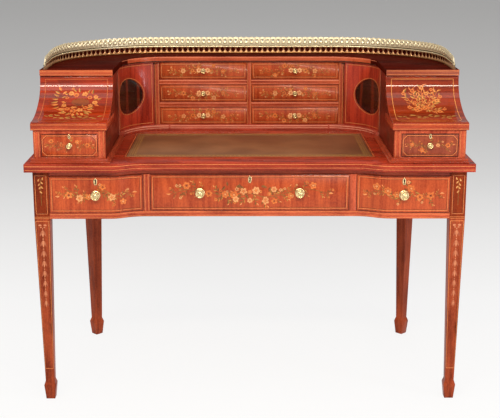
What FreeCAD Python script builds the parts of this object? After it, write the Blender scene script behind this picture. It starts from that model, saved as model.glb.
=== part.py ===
import FreeCAD, Part
import math
import os
import Sketcher

# Writing desk on a D plan with a drawer frieze, two lidded wings, a nest of small drawers
# between concave corner cupboards, and a horseshoe shelf with a pierced gallery.
# Frame: X to the right, Y from the front edge to the back, Z up, origin on the floor under
# the middle of the top. Sizes are in millimetres, and places called "set" or "back" are
# measured backwards from the front edge of the top.

doc = FreeCAD.newDocument("Desk")
sheet = doc.addObject("Spreadsheet::Sheet", "Sizes")

SIZES = [
    # the top
    ("top_width", 1320), ("top_depth", 730), ("top_thick", 24), ("writing_height", 746),
    ("corner_radius", 285), ("sweep_outer", 417), ("sweep_inner", 309), ("setback", 30),
    ("overhang", 21), ("leather_wide", 744), ("leather_deep", 386), ("leather_margin", 116),
    ("leather_thick", 1.5),
    # the frieze that hangs under the top
    ("frieze_high", 145), ("upper_rail_high", 16), ("lower_rail_high", 17), ("rail_back", 115),
    ("upper_rail_recess", 4), ("apron_thick", 20), ("divider_wide", 20), ("divider_place", 307),
    ("bearer_wide", 60),
    # the legs
    ("leg_wide", 46), ("ankle_wide", 27), ("ankle_high", 60), ("spade_wide", 36),
    ("spade_high", 46), ("foot_wide", 27),
    # running and seating clearances
    ("side_gap", 0.5), ("seat_gap", 0.3), ("head_gap", 1), ("pin_gap", 0.05), ("inlay_gap", 0.1),
    # the frieze drawers
    ("front_thick", 20), ("lining_thick", 9), ("bottom_thick", 6), ("bottom_rise", 6),
    ("lining_drop", 6), ("side_drawer_room", 260), ("centre_drawer_room", 130),
    ("centre_knob_place", 148.5), ("keyhole_rise", 40),
    # the wings
    ("case_high", 230), ("wing_inner", 424), ("wing_outer", 635), ("wing_set", 37),
    ("flank_thick", 11), ("frame_thick", 14), ("drawer_case_high", 95), ("ledge_high", 20),
    ("ledge_reach", 7), ("ledge_lap", 6), ("wing_plinth_high", 11), ("plinth_lap", 8),
    ("toe_high", 5), ("toe_reach", 27), ("toe_lap", 16),
    ("wing_stile_wide", 21), ("wing_sill_high", 14), ("wing_drawer_high", 70),
    ("wing_floor_gap", 5), ("wing_back_thick", 8), ("wing_drawer_back", 235),
    ("wing_front_thick", 16), ("wing_lining_thick", 7), ("wing_keyhole_rise", 27),
    ("wing_guide_back", 245),
    # the curved back of the case, and the shelf on top of it
    ("case_back_set", 706), ("case_radius", 356), ("case_thick", 12), ("shelf_thick", 18),
    ("shelf_lap", 6), ("shelf_set", 222), ("upstand_set", 335), ("upstand_thick", 4),
    ("upstand_gap", 6), ("upstand_high", 26), ("gallery_inset", 14),
    # the lids
    ("lid_thick", 12), ("lid_set", 38), ("lid_top_set", 228), ("lid_lip", 2.2),
    ("lid_tight_radius", 72), ("lid_pin_radius", 1.5), ("knuckle_radius", 3),
    ("knuckle_gap", 0.25), ("knuckle_wide", 20), ("hinge_inset", 34), ("leaf_long", 24),
    ("leaf_thick", 2.4), ("leaf_clear", 1.6), ("lid_pin_long", 44),
    # the corner cupboards
    ("cupboard_radius", 156), ("nest_set", 590), ("door_thick", 14), ("door_edge", 322),
    ("door_bevel", 16), ("oval_high", 114), ("oval_wide", 134), ("oval_place", 82),
    ("oval_recess", 1.5), ("oval_thick", 9), ("pivot_radius", 3), ("pivot_in_door", 12),
    ("pivot_in_board", 8),
    ("stop_wide", 17), ("stop_set", 594), ("stop_deep", 12),
    # the nest of small drawers
    ("nest_half", 318.5), ("nest_side_thick", 14.5), ("nest_post_wide", 13),
    ("nest_rail_high", 17), ("nest_base_high", 17), ("nest_front_thick", 14),
    ("nest_lining_thick", 6), ("nest_bottom_thick", 4), ("nest_drawer_back", 686),
    # the gallery
    ("gallery_front", 232), ("foot_rail_high", 3), ("post_high", 24),
    ("middle_rail_high", 3), ("gallery_band_high", 23), ("rail_wide", 4), ("band_thick", 2),
    ("post_radius", 1.8), ("post_pitch", 17.8), ("end_post_radius", 4), ("end_post_high", 34),
    # the large knobs and the small ones
    ("knob_wide", 31), ("knob_reach", 20), ("rose_wide", 25), ("rose_thick", 2.5),
    ("neck_wide", 12), ("head_thick", 10), ("crown_wide", 14), ("small_knob_wide", 18),
    ("small_knob_reach", 15), ("small_rose_wide", 13), ("small_rose_thick", 1.5),
    ("small_neck_wide", 7), ("small_head_thick", 7), ("small_crown_wide", 8),
    ("escutcheon_radius", 5.5), ("keyhole_radius", 2.8), ("escutcheon_thick", 1),
]


class Size:
    """A length that knows its value in mm and the spreadsheet words that it comes from."""

    def __init__(self, mm, words):
        self.mm = float(mm)
        self.words = words

    def __add__(self, other):
        return Size(self.mm + mm_of(other), f"({self.words} + {words_of(other)})")

    def __sub__(self, other):
        return Size(self.mm - mm_of(other), f"({self.words} - {words_of(other)})")

    def __mul__(self, other):
        return Size(self.mm * mm_of(other), f"({self.words} * {words_of(other)})")

    def __truediv__(self, other):
        return Size(self.mm / mm_of(other), f"({self.words} / {words_of(other)})")

    def __neg__(self):
        return Size(-self.mm, f"(0 - {self.words})")

    def root(self):
        return Size(math.sqrt(self.mm), f"sqrt({self.words})")


def mm_of(value):
    return value.mm if isinstance(value, Size) else float(value)


def words_of(value):
    return value.words if isinstance(value, Size) else repr(value)


class Sheet:
    """The spreadsheet's cells by alias, each one as a Size."""


size = Sheet()
for row, (alias, number) in enumerate(SIZES, start=1):
    sheet.set(f"A{row}", alias)
    sheet.set(f"B{row}", str(number))
    sheet.setAlias(f"B{row}", alias)
    setattr(size, alias, Size(number, f"Sizes.{alias}"))
doc.recompute()

RIGHT, LEFT = 1, -1
SIDES = (("left", LEFT), ("right", RIGHT))
COUNTER, CLOCK = 1, -1
ROOT_TWO = Size(2, "2").root()
HALF_CORNER_ANGLE = 45
nodes = {}


# General makers of bound objects

def set_back(distance):
    """The Y of a point this far behind the front edge of the top."""
    return -size.top_depth / 2 + distance


def span(side, near, far):
    """The X range between two distances from the middle plane, on one side of it."""
    return (near, far) if side == RIGHT else (-far, -near)


def bind(thing, prop, value):
    thing.setExpression(prop, words_of(value))


def place(thing, x=None, y=None, z=None):
    for axis, value in (("x", x), ("y", y), ("z", z)):
        if value is not None:
            bind(thing, f"Placement.Base.{axis}", value)


def block(name, x_span, y_span, z_span):
    """A board between low and high planes across X, Y and Z."""
    board = doc.addObject("Part::Box", name)
    for prop, (low, high) in (("Length", x_span), ("Width", y_span), ("Height", z_span)):
        bind(board, prop, high - low)
    place(board, x_span[0], y_span[0], z_span[0])
    return board


def rod(name, radius, length, x, y, z):
    """An upright cylinder from its foot."""
    bar = doc.addObject("Part::Cylinder", name)
    bind(bar, "Radius", radius)
    bind(bar, "Height", length)
    place(bar, x, y, z)
    return bar


def turn(thing, axis, degrees):
    thing.Placement.Rotation = FreeCAD.Rotation(FreeCAD.Vector(*axis), degrees)
    return thing


def cut(name, base, tools):
    """The base with each tool taken away."""
    result = doc.addObject("Part::Cut", name)
    result.Base = base
    result.Tool = tools[0] if len(tools) == 1 else group(name + "_tools", tools)
    return result


def fuse(name, pieces):
    result = doc.addObject("Part::MultiFuse", name)
    result.Shapes = pieces
    result.Refine = True
    return result


def common(name, first, second):
    result = doc.addObject("Part::MultiCommon", name)
    result.Shapes = [first, second]
    return result


def group(name, pieces):
    """Separate solids that share one node."""
    result = doc.addObject("Part::Compound", name)
    result.Links = pieces
    return result


def node(name, thing):
    thing.Label = name
    nodes[name] = thing
    return thing


def origin_plane(body, role):
    return next(p for p in body.Origin.OriginFeatures if p.Role == role)


def new_sketch(body, role, name):
    sketch = body.newObject("Sketcher::SketchObject", name)
    sketch.AttachmentSupport = [(origin_plane(body, role), "")]
    sketch.MapMode = "FlatFace"
    return sketch


def arc_between(start, end, radius, direction):
    """The short arc of this radius from start to end, as a counter-clockwise curve."""
    if direction == CLOCK:
        start, end = end, start
    middle = (start + end) * 0.5
    chord = end - start
    rise = math.sqrt(max(radius ** 2 - (chord.Length / 2) ** 2, 0))
    centre = middle + FreeCAD.Vector(-chord.y, chord.x, 0).normalize() * rise
    first = math.atan2(start.y - centre.y, start.x - centre.x)
    last = math.atan2(end.y - centre.y, end.x - centre.x)
    circle = Part.Circle(centre, FreeCAD.Vector(0, 0, 1), radius)
    return Part.ArcOfCircle(circle, first, last if last > first else last + 2 * math.pi)


def draw(sketch, outline):
    """A closed outline. A corner is (u, v), or (u, v, radius, direction) before an arc."""
    corners = [FreeCAD.Vector(mm_of(corner[0]), mm_of(corner[1]), 0) for corner in outline]
    count = len(outline)
    ends = []
    for index, corner in enumerate(outline):
        here, there = corners[index], corners[(index + 1) % count]
        if len(corner) == 2:
            sketch.addGeometry(Part.LineSegment(here, there), False)
            ends.append((1, 2))
        else:
            sketch.addGeometry(arc_between(here, there, mm_of(corner[2]), corner[3]), False)
            ends.append((1, 2) if corner[3] == COUNTER else (2, 1))
    for index, corner in enumerate(outline):
        following = (index + 1) % count
        joint = (index, ends[index][1], following, ends[following][0])
        sketch.addConstraint(Sketcher.Constraint("Coincident", *joint))
        for kind, axis, value in (("DistanceX", -2, corner[0]), ("DistanceY", -1, corner[1])):
            if not isinstance(value, Size):
                flat = Sketcher.Constraint("PointOnObject", index, ends[index][0], axis)
                sketch.addConstraint(flat)
                continue
            measure = (kind, -1, 1, index, ends[index][0], value.mm)
            fixed = sketch.addConstraint(Sketcher.Constraint(*measure))
            bind(sketch, f"Constraints[{fixed}]", value)
        if len(corner) > 2:
            radius = Sketcher.Constraint("Radius", index, mm_of(corner[2]))
            bind(sketch, f"Constraints[{sketch.addConstraint(radius)}]", corner[2])


def padded(name, role, outline, thickness):
    """A body with its outline on one of its origin planes and its thickness above that plane."""
    body = doc.addObject("PartDesign::Body", name)
    sketch = new_sketch(body, role, name + "_outline")
    draw(sketch, outline)
    pad = body.newObject("PartDesign::Pad", name + "_pad")
    pad.Profile = sketch
    bind(pad, "Length", thickness)
    return body


def plate(name, outline, z_span):
    """A board of this plan outline between two heights."""
    body = padded(name, "XY_Plane", outline, z_span[1] - z_span[0])
    place(body, z=z_span[0])
    return body


def profile(name, outline, x_span):
    """A board of this side outline, in Y and Z, across a range of X."""
    body = padded(name, "YZ_Plane", outline, x_span[1] - x_span[0])
    place(body, x=x_span[0])
    return body


def turned(name, outline, x, y, z):
    """A turned piece, its outline given as radius and depth along Y."""
    body = doc.addObject("PartDesign::Body", name)
    sketch = new_sketch(body, "XY_Plane", name + "_outline")
    draw(sketch, outline)
    revolution = body.newObject("PartDesign::Revolution", name + "_turning")
    revolution.Profile = sketch
    revolution.ReferenceAxis = (sketch, ["V_Axis"])
    revolution.Angle = 360
    place(body, x, y, z)
    return body


def mirrored(outline):
    """The same outline on the other side of the middle plane, still counter-clockwise."""
    count = len(outline)
    result = []
    for index in range(count):
        corner, edge = outline[count - 1 - index], outline[(count - 2 - index) % count]
        result.append((-corner[0], corner[1]) + tuple(edge[2:]))
    return result


def sided(side, outline):
    return outline if side == RIGHT else mirrored(outline)


# Places that several pieces share

top_half = size.top_width / 2
under_top = size.writing_height - size.top_thick
frieze_foot = under_top - size.frieze_high
drawer_floor = frieze_foot + size.lower_rail_high
drawer_ceiling = under_top - size.upper_rail_high
leg_outer = top_half - size.overhang
leg_inner = leg_outer - size.leg_wide
apron_inner = leg_outer - size.apron_thick
divider_inner = size.divider_place - size.divider_wide / 2
divider_outer = size.divider_place + size.divider_wide / 2
frieze_set = size.overhang
centre_set = size.overhang + size.setback
corner_x = top_half - size.corner_radius
corner_set = size.top_depth - size.corner_radius
case_top = size.writing_height + size.case_high
ledge_foot = size.writing_height + size.drawer_case_high
ledge_top = ledge_foot + size.ledge_high
case_x = size.wing_outer - size.case_radius
case_corner_set = size.case_back_set - size.case_radius
wing_floor_set = case_corner_set - size.wing_floor_gap
cove_x = size.wing_inner - size.cupboard_radius
cove_set = size.nest_set - size.cupboard_radius
nest_floor = size.writing_height + size.nest_base_high
sweep_long = size.sweep_outer - size.sweep_inner
sweep_radius = (sweep_long * sweep_long + size.setback * size.setback) / (size.setback * 4)


def sweep_join(offset):
    """Where the two arcs of the front's double curve meet, for a line set in by offset."""
    along = (sweep_radius - offset) / (sweep_radius * 2)
    x = size.sweep_outer - sweep_long * along
    return x, sweep_radius + (size.setback - sweep_radius * 2) * along


def hollow_set(x, offset):
    """How far back the hollow arc of the double curve lies at this X."""
    run = x - size.sweep_inner
    reach = sweep_radius + offset
    return size.setback - sweep_radius + (reach * reach - run * run).root()


def front_line(half, offset):
    """The double curved front from left to right, set in by offset."""
    join_x, join_set = sweep_join(offset)
    centre = set_back(size.setback + offset)
    swell, hollow = sweep_radius - offset, sweep_radius + offset
    side = set_back(offset)
    return [
        (-half, side), (-size.sweep_outer, side, swell, COUNTER),
        (-join_x, set_back(join_set), hollow, CLOCK), (-size.sweep_inner, centre),
        (size.sweep_inner, centre, hollow, CLOCK), (join_x, set_back(join_set), swell, COUNTER),
        (size.sweep_outer, side), (half, side),
    ]


def swept_board(inner, outer, front, back):
    """The plan of a board that follows the double curve between two X places."""
    join_x, join_set = sweep_join(front)
    outline = [
        (inner, set_back(hollow_set(inner, front)), sweep_radius + front, CLOCK),
        (join_x, set_back(join_set), sweep_radius - front, COUNTER),
        (size.sweep_outer, set_back(front)), (outer, set_back(front)),
    ]
    join_x, join_set = sweep_join(back)
    outline += [
        (outer, set_back(back)), (size.sweep_outer, set_back(back), sweep_radius - back, CLOCK),
        (join_x, set_back(join_set), sweep_radius + back, COUNTER),
        (inner, set_back(hollow_set(inner, back))),
    ]
    return outline


# Legs, square and tapered to a spade foot

def leg(name, x, y, degrees):
    body = doc.addObject("PartDesign::Body", name)
    sections = (
        (0, size.foot_wide), (size.spade_high, size.spade_wide),
        (size.ankle_high, size.ankle_wide), (frieze_foot, size.leg_wide),
        (under_top, size.leg_wide),
    )
    sketches = []
    for index, (height, width) in enumerate(sections):
        half = width / 2
        sketch = new_sketch(body, "XY_Plane", f"{name}_section_{index}")
        bind(sketch, "AttachmentOffset.Base.z", height)
        draw(sketch, [(-half, -half), (half, -half), (half, half), (-half, half)])
        sketches.append(sketch)
    loft = body.newObject("PartDesign::AdditiveLoft", name + "_taper")
    loft.Profile = sketches[0]
    loft.Sections = sketches[1:]
    loft.Ruled = True
    turn(body, (0, 0, 1), degrees)
    place(body, x, y)
    return node(name, body)


leg_half = size.leg_wide / 2
diagonal_reach = (size.corner_radius - size.overhang - leg_half) / ROOT_TWO
for word, side in SIDES:
    leg(f"leg_front_{word}", (leg_outer - leg_half) * side,
        set_back(size.overhang + leg_half), 0)
    leg(f"leg_back_{word}", (corner_x + diagonal_reach) * side,
        set_back(corner_set + diagonal_reach), HALF_CORNER_ANGLE)


# Frieze: curved side and back aprons, rails, dividers, bearers and guides

def beside_leg(radius, offset):
    """Where an arc round the back corner meets the face of the diagonal leg."""
    reach = (radius * radius - offset * offset).root()
    return corner_x + (reach + offset) / ROOT_TWO, set_back(corner_set + (reach - offset) / ROOT_TWO)


apron_radius = size.corner_radius - size.overhang
lining_radius = apron_radius - size.apron_thick
side_apron = [
    (apron_inner, set_back(size.overhang + size.leg_wide)),
    (leg_outer, set_back(size.overhang + size.leg_wide)),
    (leg_outer, set_back(corner_set), apron_radius, COUNTER),
    beside_leg(apron_radius, leg_half),
    beside_leg(lining_radius, leg_half) + (lining_radius, CLOCK),
    (apron_inner, set_back(corner_set)),
]
for word, side in SIDES:
    node(f"apron_{word}", plate(f"apron_{word}", sided(side, side_apron), (frieze_foot, under_top)))

back_outer = set_back(size.top_depth - size.overhang)
back_inner = set_back(size.top_depth - size.overhang - size.apron_thick)
outer_end, inner_end = (beside_leg(radius, -leg_half) for radius in (apron_radius, lining_radius))
back_apron = [
    (corner_x, back_outer), (-corner_x, back_outer, apron_radius, COUNTER),
    (-outer_end[0], outer_end[1]), (-inner_end[0], inner_end[1], lining_radius, CLOCK),
    (-corner_x, back_inner), (corner_x, back_inner, lining_radius, CLOCK),
    inner_end, outer_end + (apron_radius, COUNTER),
]
node("apron_back", plate("apron_back", back_apron, (frieze_foot, under_top)))

rail_end = set_back(size.rail_back)
for name, offset, z_span in (
        ("frieze_lower_rail", size.overhang, (frieze_foot, drawer_floor)),
        ("frieze_upper_rail", size.overhang + size.upper_rail_recess, (drawer_ceiling, under_top))):
    outline = front_line(leg_inner, offset) + [(leg_inner, rail_end), (-leg_inner, rail_end)]
    node(name, plate(name, outline, z_span))

dividers = []
carriers = []
for word, side in SIDES:
    dividers.append(block(
        f"divider_{word}", span(side, divider_inner, divider_outer),
        (set_back(centre_set), back_inner), (drawer_floor, drawer_ceiling)))
    under_divider = span(side, size.divider_place - size.bearer_wide / 2,
                         size.divider_place + size.bearer_wide / 2)
    at_apron = span(side, apron_inner - size.bearer_wide, apron_inner)
    beside_drawer = span(side, leg_inner, apron_inner)
    to_back = (rail_end, back_inner)
    to_corner = (rail_end, set_back(corner_set))
    behind_leg = (set_back(size.overhang + size.leg_wide), set_back(corner_set))
    carriers += [
        block(f"bearer_centre_{word}", under_divider, to_back, (frieze_foot, drawer_floor)),
        block(f"kicker_{word}", under_divider, to_back, (drawer_ceiling, under_top)),
        block(f"bearer_outer_{word}", at_apron, to_corner, (frieze_foot, drawer_floor)),
        block(f"guide_{word}", beside_drawer, behind_leg, (drawer_floor, drawer_ceiling)),
    ]
node("frieze_dividers", group("frieze_dividers", dividers))
node("frieze_bearers", group("frieze_bearers", carriers))


# Top with its leather let in

top_outline = front_line(top_half, Size(0, "0")) + [
    (top_half, set_back(corner_set), size.corner_radius, COUNTER),
    (corner_x, set_back(size.top_depth)),
    (-corner_x, set_back(size.top_depth), size.corner_radius, COUNTER),
    (-top_half, set_back(corner_set)),
]
leather_x = (-size.leather_wide / 2, size.leather_wide / 2)
leather_y = (set_back(size.leather_margin), set_back(size.leather_margin + size.leather_deep))
leather_z = (size.writing_height - size.leather_thick, size.writing_height)
top_board = plate("top_board", top_outline, (under_top, size.writing_height))
recess = block("leather_recess", leather_x, leather_y, leather_z)
node("table_top", cut("table_top", top_board, [recess]))
node("writing_leather", block("writing_leather", leather_x, leather_y, leather_z))


# Knobs and keyhole plates

def knob(name, words, x, y, z):
    """A turned knob on a rose, with its foot on the drawer front."""
    wide, reach, rose, rose_thick, neck, head, crown = (
        getattr(size, words + part) for part in (
            "knob_wide", "knob_reach", "rose_wide", "rose_thick", "neck_wide", "head_thick",
            "crown_wide"))
    outline = [
        (0, 0), (0, -reach), (crown / 2, -reach), (wide / 2, -(reach - head / 3)),
        (wide / 2, -(reach - head * 2 / 3)), (neck / 2, -(reach - head)),
        (neck / 2, -rose_thick), (rose / 2, -rose_thick), (rose / 2, 0),
    ]
    return turned(name, outline, x, y, z)


def keyhole_plate(name, x, y, z):
    ring = []
    for part, radius in (("plate", size.escutcheon_radius), ("hole", size.keyhole_radius)):
        disc = rod(f"{name}_{part}", radius, size.escutcheon_thick, x, y, z)
        ring.append(turn(disc, (1, 0, 0), 90))
    return cut(name, ring[0], [ring[1]])


# Drawers

def drawer_lining(name, x_span, fronts, back, z_span, thick, bottom=None):
    """Two sides, a back and a bottom behind a drawer front. fronts holds the back face of the
    front at the low and the high X, and bottom the plan of a bottom that isn't a rectangle."""
    low, high = x_span
    top = z_span[1] - size.lining_drop
    low_side = block(name + "_side_a", (low, low + thick), (fronts[0], back), (z_span[0], top))
    high_side = block(name + "_side_b", (high - thick, high), (fronts[1], back), (z_span[0], top))
    inside = (low + thick, high - thick)
    floor = z_span[0] + size.bottom_rise
    floor_thick = size.nest_bottom_thick if bottom == "thin" else size.bottom_thick
    back_board = block(name + "_back", inside, (back - thick, back), (z_span[0], top))
    if isinstance(bottom, list):
        bottom_board = plate(name + "_bottom", bottom, (floor, floor + floor_thick))
    else:
        bottom_board = block(name + "_bottom", inside, (fronts[0], back - thick),
                             (floor, floor + floor_thick))
    return [low_side, high_side, back_board, bottom_board]


opening = (drawer_floor + size.seat_gap, drawer_ceiling - size.head_gap)
knob_height = (opening[0] + opening[1]) / 2
outer_end = leg_inner - size.side_gap
inner_end = divider_outer + size.side_gap
side_front = swept_board(inner_end, outer_end, size.overhang, size.overhang + size.front_thick)
behind_front = size.overhang + size.front_thick
side_back = set_back(size.top_depth - size.side_drawer_room)
bottom_inner, bottom_outer = inner_end + size.lining_thick, outer_end - size.lining_thick
join_x, join_set = sweep_join(behind_front)
side_bottom = [
    (bottom_inner, set_back(hollow_set(bottom_inner, behind_front)),
     sweep_radius + behind_front, CLOCK),
    (join_x, set_back(join_set), sweep_radius - behind_front, COUNTER),
    (size.sweep_outer, set_back(behind_front)), (bottom_outer, set_back(behind_front)),
    (bottom_outer, side_back - size.lining_thick), (bottom_inner, side_back - size.lining_thick),
]
side_knob_place = (inner_end + outer_end) / 2
for word, side in SIDES:
    name = f"frieze_drawer_{word}"
    node(name + "_front", plate(name + "_front", sided(side, side_front), opening))
    starts = (set_back(hollow_set(inner_end, behind_front)), set_back(behind_front))
    lining = drawer_lining(name, span(side, inner_end, outer_end), starts[::side], side_back,
                           opening, size.lining_thick, sided(side, side_bottom))
    node(name + "_box", group(name + "_box", lining))
    face = set_back(size.overhang)
    node(name + "_fittings", group(name + "_fittings", [
        knob(name + "_knob", "", side_knob_place * side, face, knob_height),
        keyhole_plate(name + "_keyhole", side_knob_place * side, face,
                      knob_height + size.keyhole_rise),
    ]))

name = "frieze_drawer_centre"
centre_half = divider_inner - size.side_gap
centre_x = (-centre_half, centre_half)
centre_y = (set_back(centre_set), set_back(centre_set + size.front_thick))
node(name + "_front", block(name + "_front", centre_x, centre_y, opening))
node(name + "_box", group(name + "_box", drawer_lining(
    name, centre_x, (centre_y[1], centre_y[1]),
    set_back(size.top_depth - size.centre_drawer_room), opening, size.lining_thick)))
node(name + "_fittings", group(name + "_fittings", [
    knob(name + "_knob_left", "", -size.centre_knob_place, centre_y[0], knob_height),
    knob(name + "_knob_right", "", size.centre_knob_place, centre_y[0], knob_height),
    keyhole_plate(name + "_keyhole", Size(0, "0"), centre_y[0], knob_height + size.keyhole_rise),
]))


# Curved case back, and the shelf board on the whole superstructure with its low upstand

def horseshoe(half, back, radius, thick, start):
    """A band of this thickness inside a D plan, open to the front."""
    centre, turn_set = half - radius, back - radius
    inner, inner_radius = half - thick, radius - thick
    rear, inner_rear = set_back(back), set_back(back - thick)
    return [
        (half, set_back(start)), (half, set_back(turn_set), radius, COUNTER),
        (centre, rear), (-centre, rear, radius, COUNTER), (-half, set_back(turn_set)),
        (-half, set_back(start)), (-inner, set_back(start)),
        (-inner, set_back(turn_set), inner_radius, CLOCK), (-centre, inner_rear),
        (centre, inner_rear, inner_radius, CLOCK), (inner, set_back(turn_set)),
        (inner, set_back(start)),
    ]


case_inner_radius = size.case_radius - size.case_thick
case_rear = set_back(size.case_back_set)
case_inner_rear = set_back(size.case_back_set - size.case_thick)
case_turn = set_back(case_corner_set)
case_inner_x = size.wing_outer - size.case_thick
case_back = [
    (size.wing_outer, case_turn, size.case_radius, COUNTER), (case_x, case_rear),
    (-case_x, case_rear, size.case_radius, COUNTER), (-size.wing_outer, case_turn),
    (-case_inner_x, case_turn, case_inner_radius, CLOCK), (-case_x, case_inner_rear),
    (case_x, case_inner_rear, case_inner_radius, CLOCK), (case_inner_x, case_turn),
]
node("case_back", plate("case_back", case_back, (size.writing_height, case_top)))

shelf_half = size.wing_outer + size.shelf_lap
shelf_inner = size.wing_inner - size.shelf_lap
shelf_radius = size.case_radius + size.shelf_lap
shelf_rear = set_back(size.case_back_set + size.shelf_lap)
shelf_cove = size.cupboard_radius - size.shelf_lap
shelf_front = set_back(size.shelf_set)
shelf_centre = set_back(size.nest_set - size.shelf_lap)
shelf_outline = [
    (-shelf_half, shelf_front), (-shelf_inner, shelf_front),
    (-shelf_inner, set_back(cove_set), shelf_cove, CLOCK), (-cove_x, shelf_centre),
    (cove_x, shelf_centre, shelf_cove, CLOCK), (shelf_inner, set_back(cove_set)),
    (shelf_inner, shelf_front), (shelf_half, shelf_front),
    (shelf_half, case_turn, shelf_radius, COUNTER), (case_x, shelf_rear),
    (-case_x, shelf_rear, shelf_radius, COUNTER), (-shelf_half, case_turn),
]
pivot_x = cove_x + size.cupboard_radius + size.door_thick / 2
pivot_y = set_back(cove_set)


def pivot_holes(name, z):
    """The two sockets that the cupboard doors' pivots turn in."""
    return [
        rod(f"{name}_{word}", size.pivot_radius + size.pin_gap, size.pivot_in_board,
            pivot_x * side, pivot_y, z)
        for word, side in SIDES
    ]


shelf_top = case_top + size.shelf_thick
rail_half = shelf_half - size.gallery_inset
rail_rear = size.case_back_set + size.shelf_lap - size.gallery_inset
rail_radius = shelf_radius - size.gallery_inset
upstand_lap = size.upstand_gap + size.upstand_thick
plank = plate("shelf_plank", shelf_outline, (case_top, shelf_top))
upstand = plate("shelf_upstand", horseshoe(
    rail_half + upstand_lap, rail_rear + upstand_lap, rail_radius + upstand_lap,
    size.upstand_thick, size.upstand_set), (shelf_top, shelf_top + size.upstand_high))
node("shelf_board", group("shelf_board", [
    cut("shelf_plank_bored", plank, pivot_holes("shelf_socket", case_top)), upstand]))


# Nest of small drawers between the cupboards

door_back_radius = size.cupboard_radius + size.door_thick
base_radius = size.cupboard_radius - size.plinth_lap
base_inner = size.wing_inner - size.plinth_lap
base_outer = size.wing_inner + size.door_thick
base_end = set_back(cove_set - size.door_thick / 2 - size.seat_gap)
nest_run = size.nest_half - cove_x
nest_shoulder = set_back(cove_set + (door_back_radius * door_back_radius - nest_run * nest_run).root())
base_front = set_back(size.nest_set - size.plinth_lap)
shell_run = size.nest_half - case_x
shell_reach = (case_inner_radius * case_inner_radius - shell_run * shell_run).root()
nest_rear = set_back(case_corner_set + shell_reach - size.seat_gap)
base_outline = [
    (-base_inner, base_end), (-base_inner, set_back(cove_set), base_radius, CLOCK),
    (-cove_x, base_front), (cove_x, base_front, base_radius, CLOCK),
    (base_inner, set_back(cove_set)), (base_inner, base_end), (base_outer, base_end),
    (base_outer, set_back(cove_set), door_back_radius, COUNTER), (size.nest_half, nest_shoulder),
    (size.nest_half, nest_rear), (-size.nest_half, nest_rear),
    (-size.nest_half, nest_shoulder, door_back_radius, COUNTER),
    (-base_outer, set_back(cove_set)), (-base_outer, base_end),
]
base = plate("nest_base_board", base_outline, (size.writing_height, nest_floor))
socket_foot = nest_floor - size.pivot_in_board
node("nest_base", cut("nest_base", base, pivot_holes("base_socket", socket_foot)))

nest_y = (set_back(size.nest_set), nest_rear)
nest_z = (nest_floor, case_top)
post_half = size.nest_post_wide / 2
nest_inner = size.nest_half - size.nest_side_thick
cell_high = (case_top - nest_floor - size.nest_rail_high * 2) / 3
uprights = [block("nest_post", (-post_half, post_half), nest_y, nest_z)]
rails = []
stop_y = (set_back(size.stop_set), set_back(size.stop_set + size.stop_deep))
for word, side in SIDES:
    uprights.append(block(f"nest_side_{word}", span(side, nest_inner, size.nest_half),
                          nest_y, nest_z))
    uprights.append(block(
        f"door_stop_{word}", span(side, size.nest_half, size.nest_half + size.stop_wide),
        stop_y, nest_z))
    for row in (1, 2):
        foot = nest_floor + cell_high * row + size.nest_rail_high * (row - 1)
        rails.append(block(f"nest_rail_{word}_{row}", span(side, post_half, nest_inner),
                           nest_y, (foot, foot + size.nest_rail_high)))
node("nest_uprights", group("nest_uprights", uprights))
node("nest_rails", group("nest_rails", rails))

nest_back = set_back(size.nest_drawer_back)
nest_front_y = (set_back(size.nest_set), set_back(size.nest_set + size.nest_front_thick))
for row, row_word in enumerate(("lower", "middle", "upper")):
    for word, side in SIDES:
        name = f"nest_drawer_{row_word}_{word}"
        x_span = span(side, post_half + size.side_gap, nest_inner - size.side_gap)
        foot = nest_floor + (cell_high + size.nest_rail_high) * row
        z_span = (foot + size.seat_gap, foot + cell_high - size.head_gap)
        front = block(name + "_front", x_span, nest_front_y, z_span)
        lining = drawer_lining(name, x_span, (nest_front_y[1], nest_front_y[1]), nest_back,
                               z_span, size.nest_lining_thick, "thin")
        node(name, group(name, [front] + lining))
        node(name + "_knob", knob(name + "_knob", "small_", (x_span[0] + x_span[1]) / 2,
                                  nest_front_y[0], (z_span[0] + z_span[1]) / 2))


# Wings: shaped flanks, drawer front frame, ledge, plinth, floor and back

lid_axis_set = size.lid_top_set + size.lid_thick / 2
lid_axis_z = case_top - size.seat_gap - size.lid_thick / 2
lid_foot_z = ledge_top + size.seat_gap
lid_face_z = lid_foot_z + size.lid_lip
cove_deep = size.lid_top_set - size.lid_set
cove_high = lid_axis_z - lid_face_z
tight = size.lid_tight_radius
broad = (((cove_deep - tight) * (cove_deep - tight) + cove_high * cove_high - tight * tight)
         / ((cove_high - tight) * 2))


def lid_join(offset):
    """Where the broad and the tight arc of the hollow lid meet, offset behind its face."""
    along = (broad + offset) / (broad - tight)
    return (size.lid_set + (cove_deep - tight) * along,
            lid_face_z + broad + (cove_high - broad) * along)


def broad_set(z, offset):
    """Where the broad arc, offset behind the lid's face, crosses a height."""
    reach, drop = broad + offset, lid_face_z + broad - z
    return size.lid_set + (reach * reach - drop * drop).root()


flank_offset = size.lid_thick + size.seat_gap
flank_join = lid_join(flank_offset)
flank_front = set_back(size.wing_set + size.frame_thick)


def flank_outline(rear):
    return [
        (flank_front, size.writing_height), (rear, size.writing_height), (rear, case_top),
        (set_back(size.lid_top_set + flank_offset), case_top),
        (set_back(size.lid_top_set + flank_offset), lid_axis_z, tight + flank_offset, CLOCK),
        (set_back(flank_join[0]), flank_join[1], broad + flank_offset, CLOCK),
        (set_back(broad_set(ledge_top, flank_offset)), ledge_top), (flank_front, ledge_top),
    ]


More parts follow.
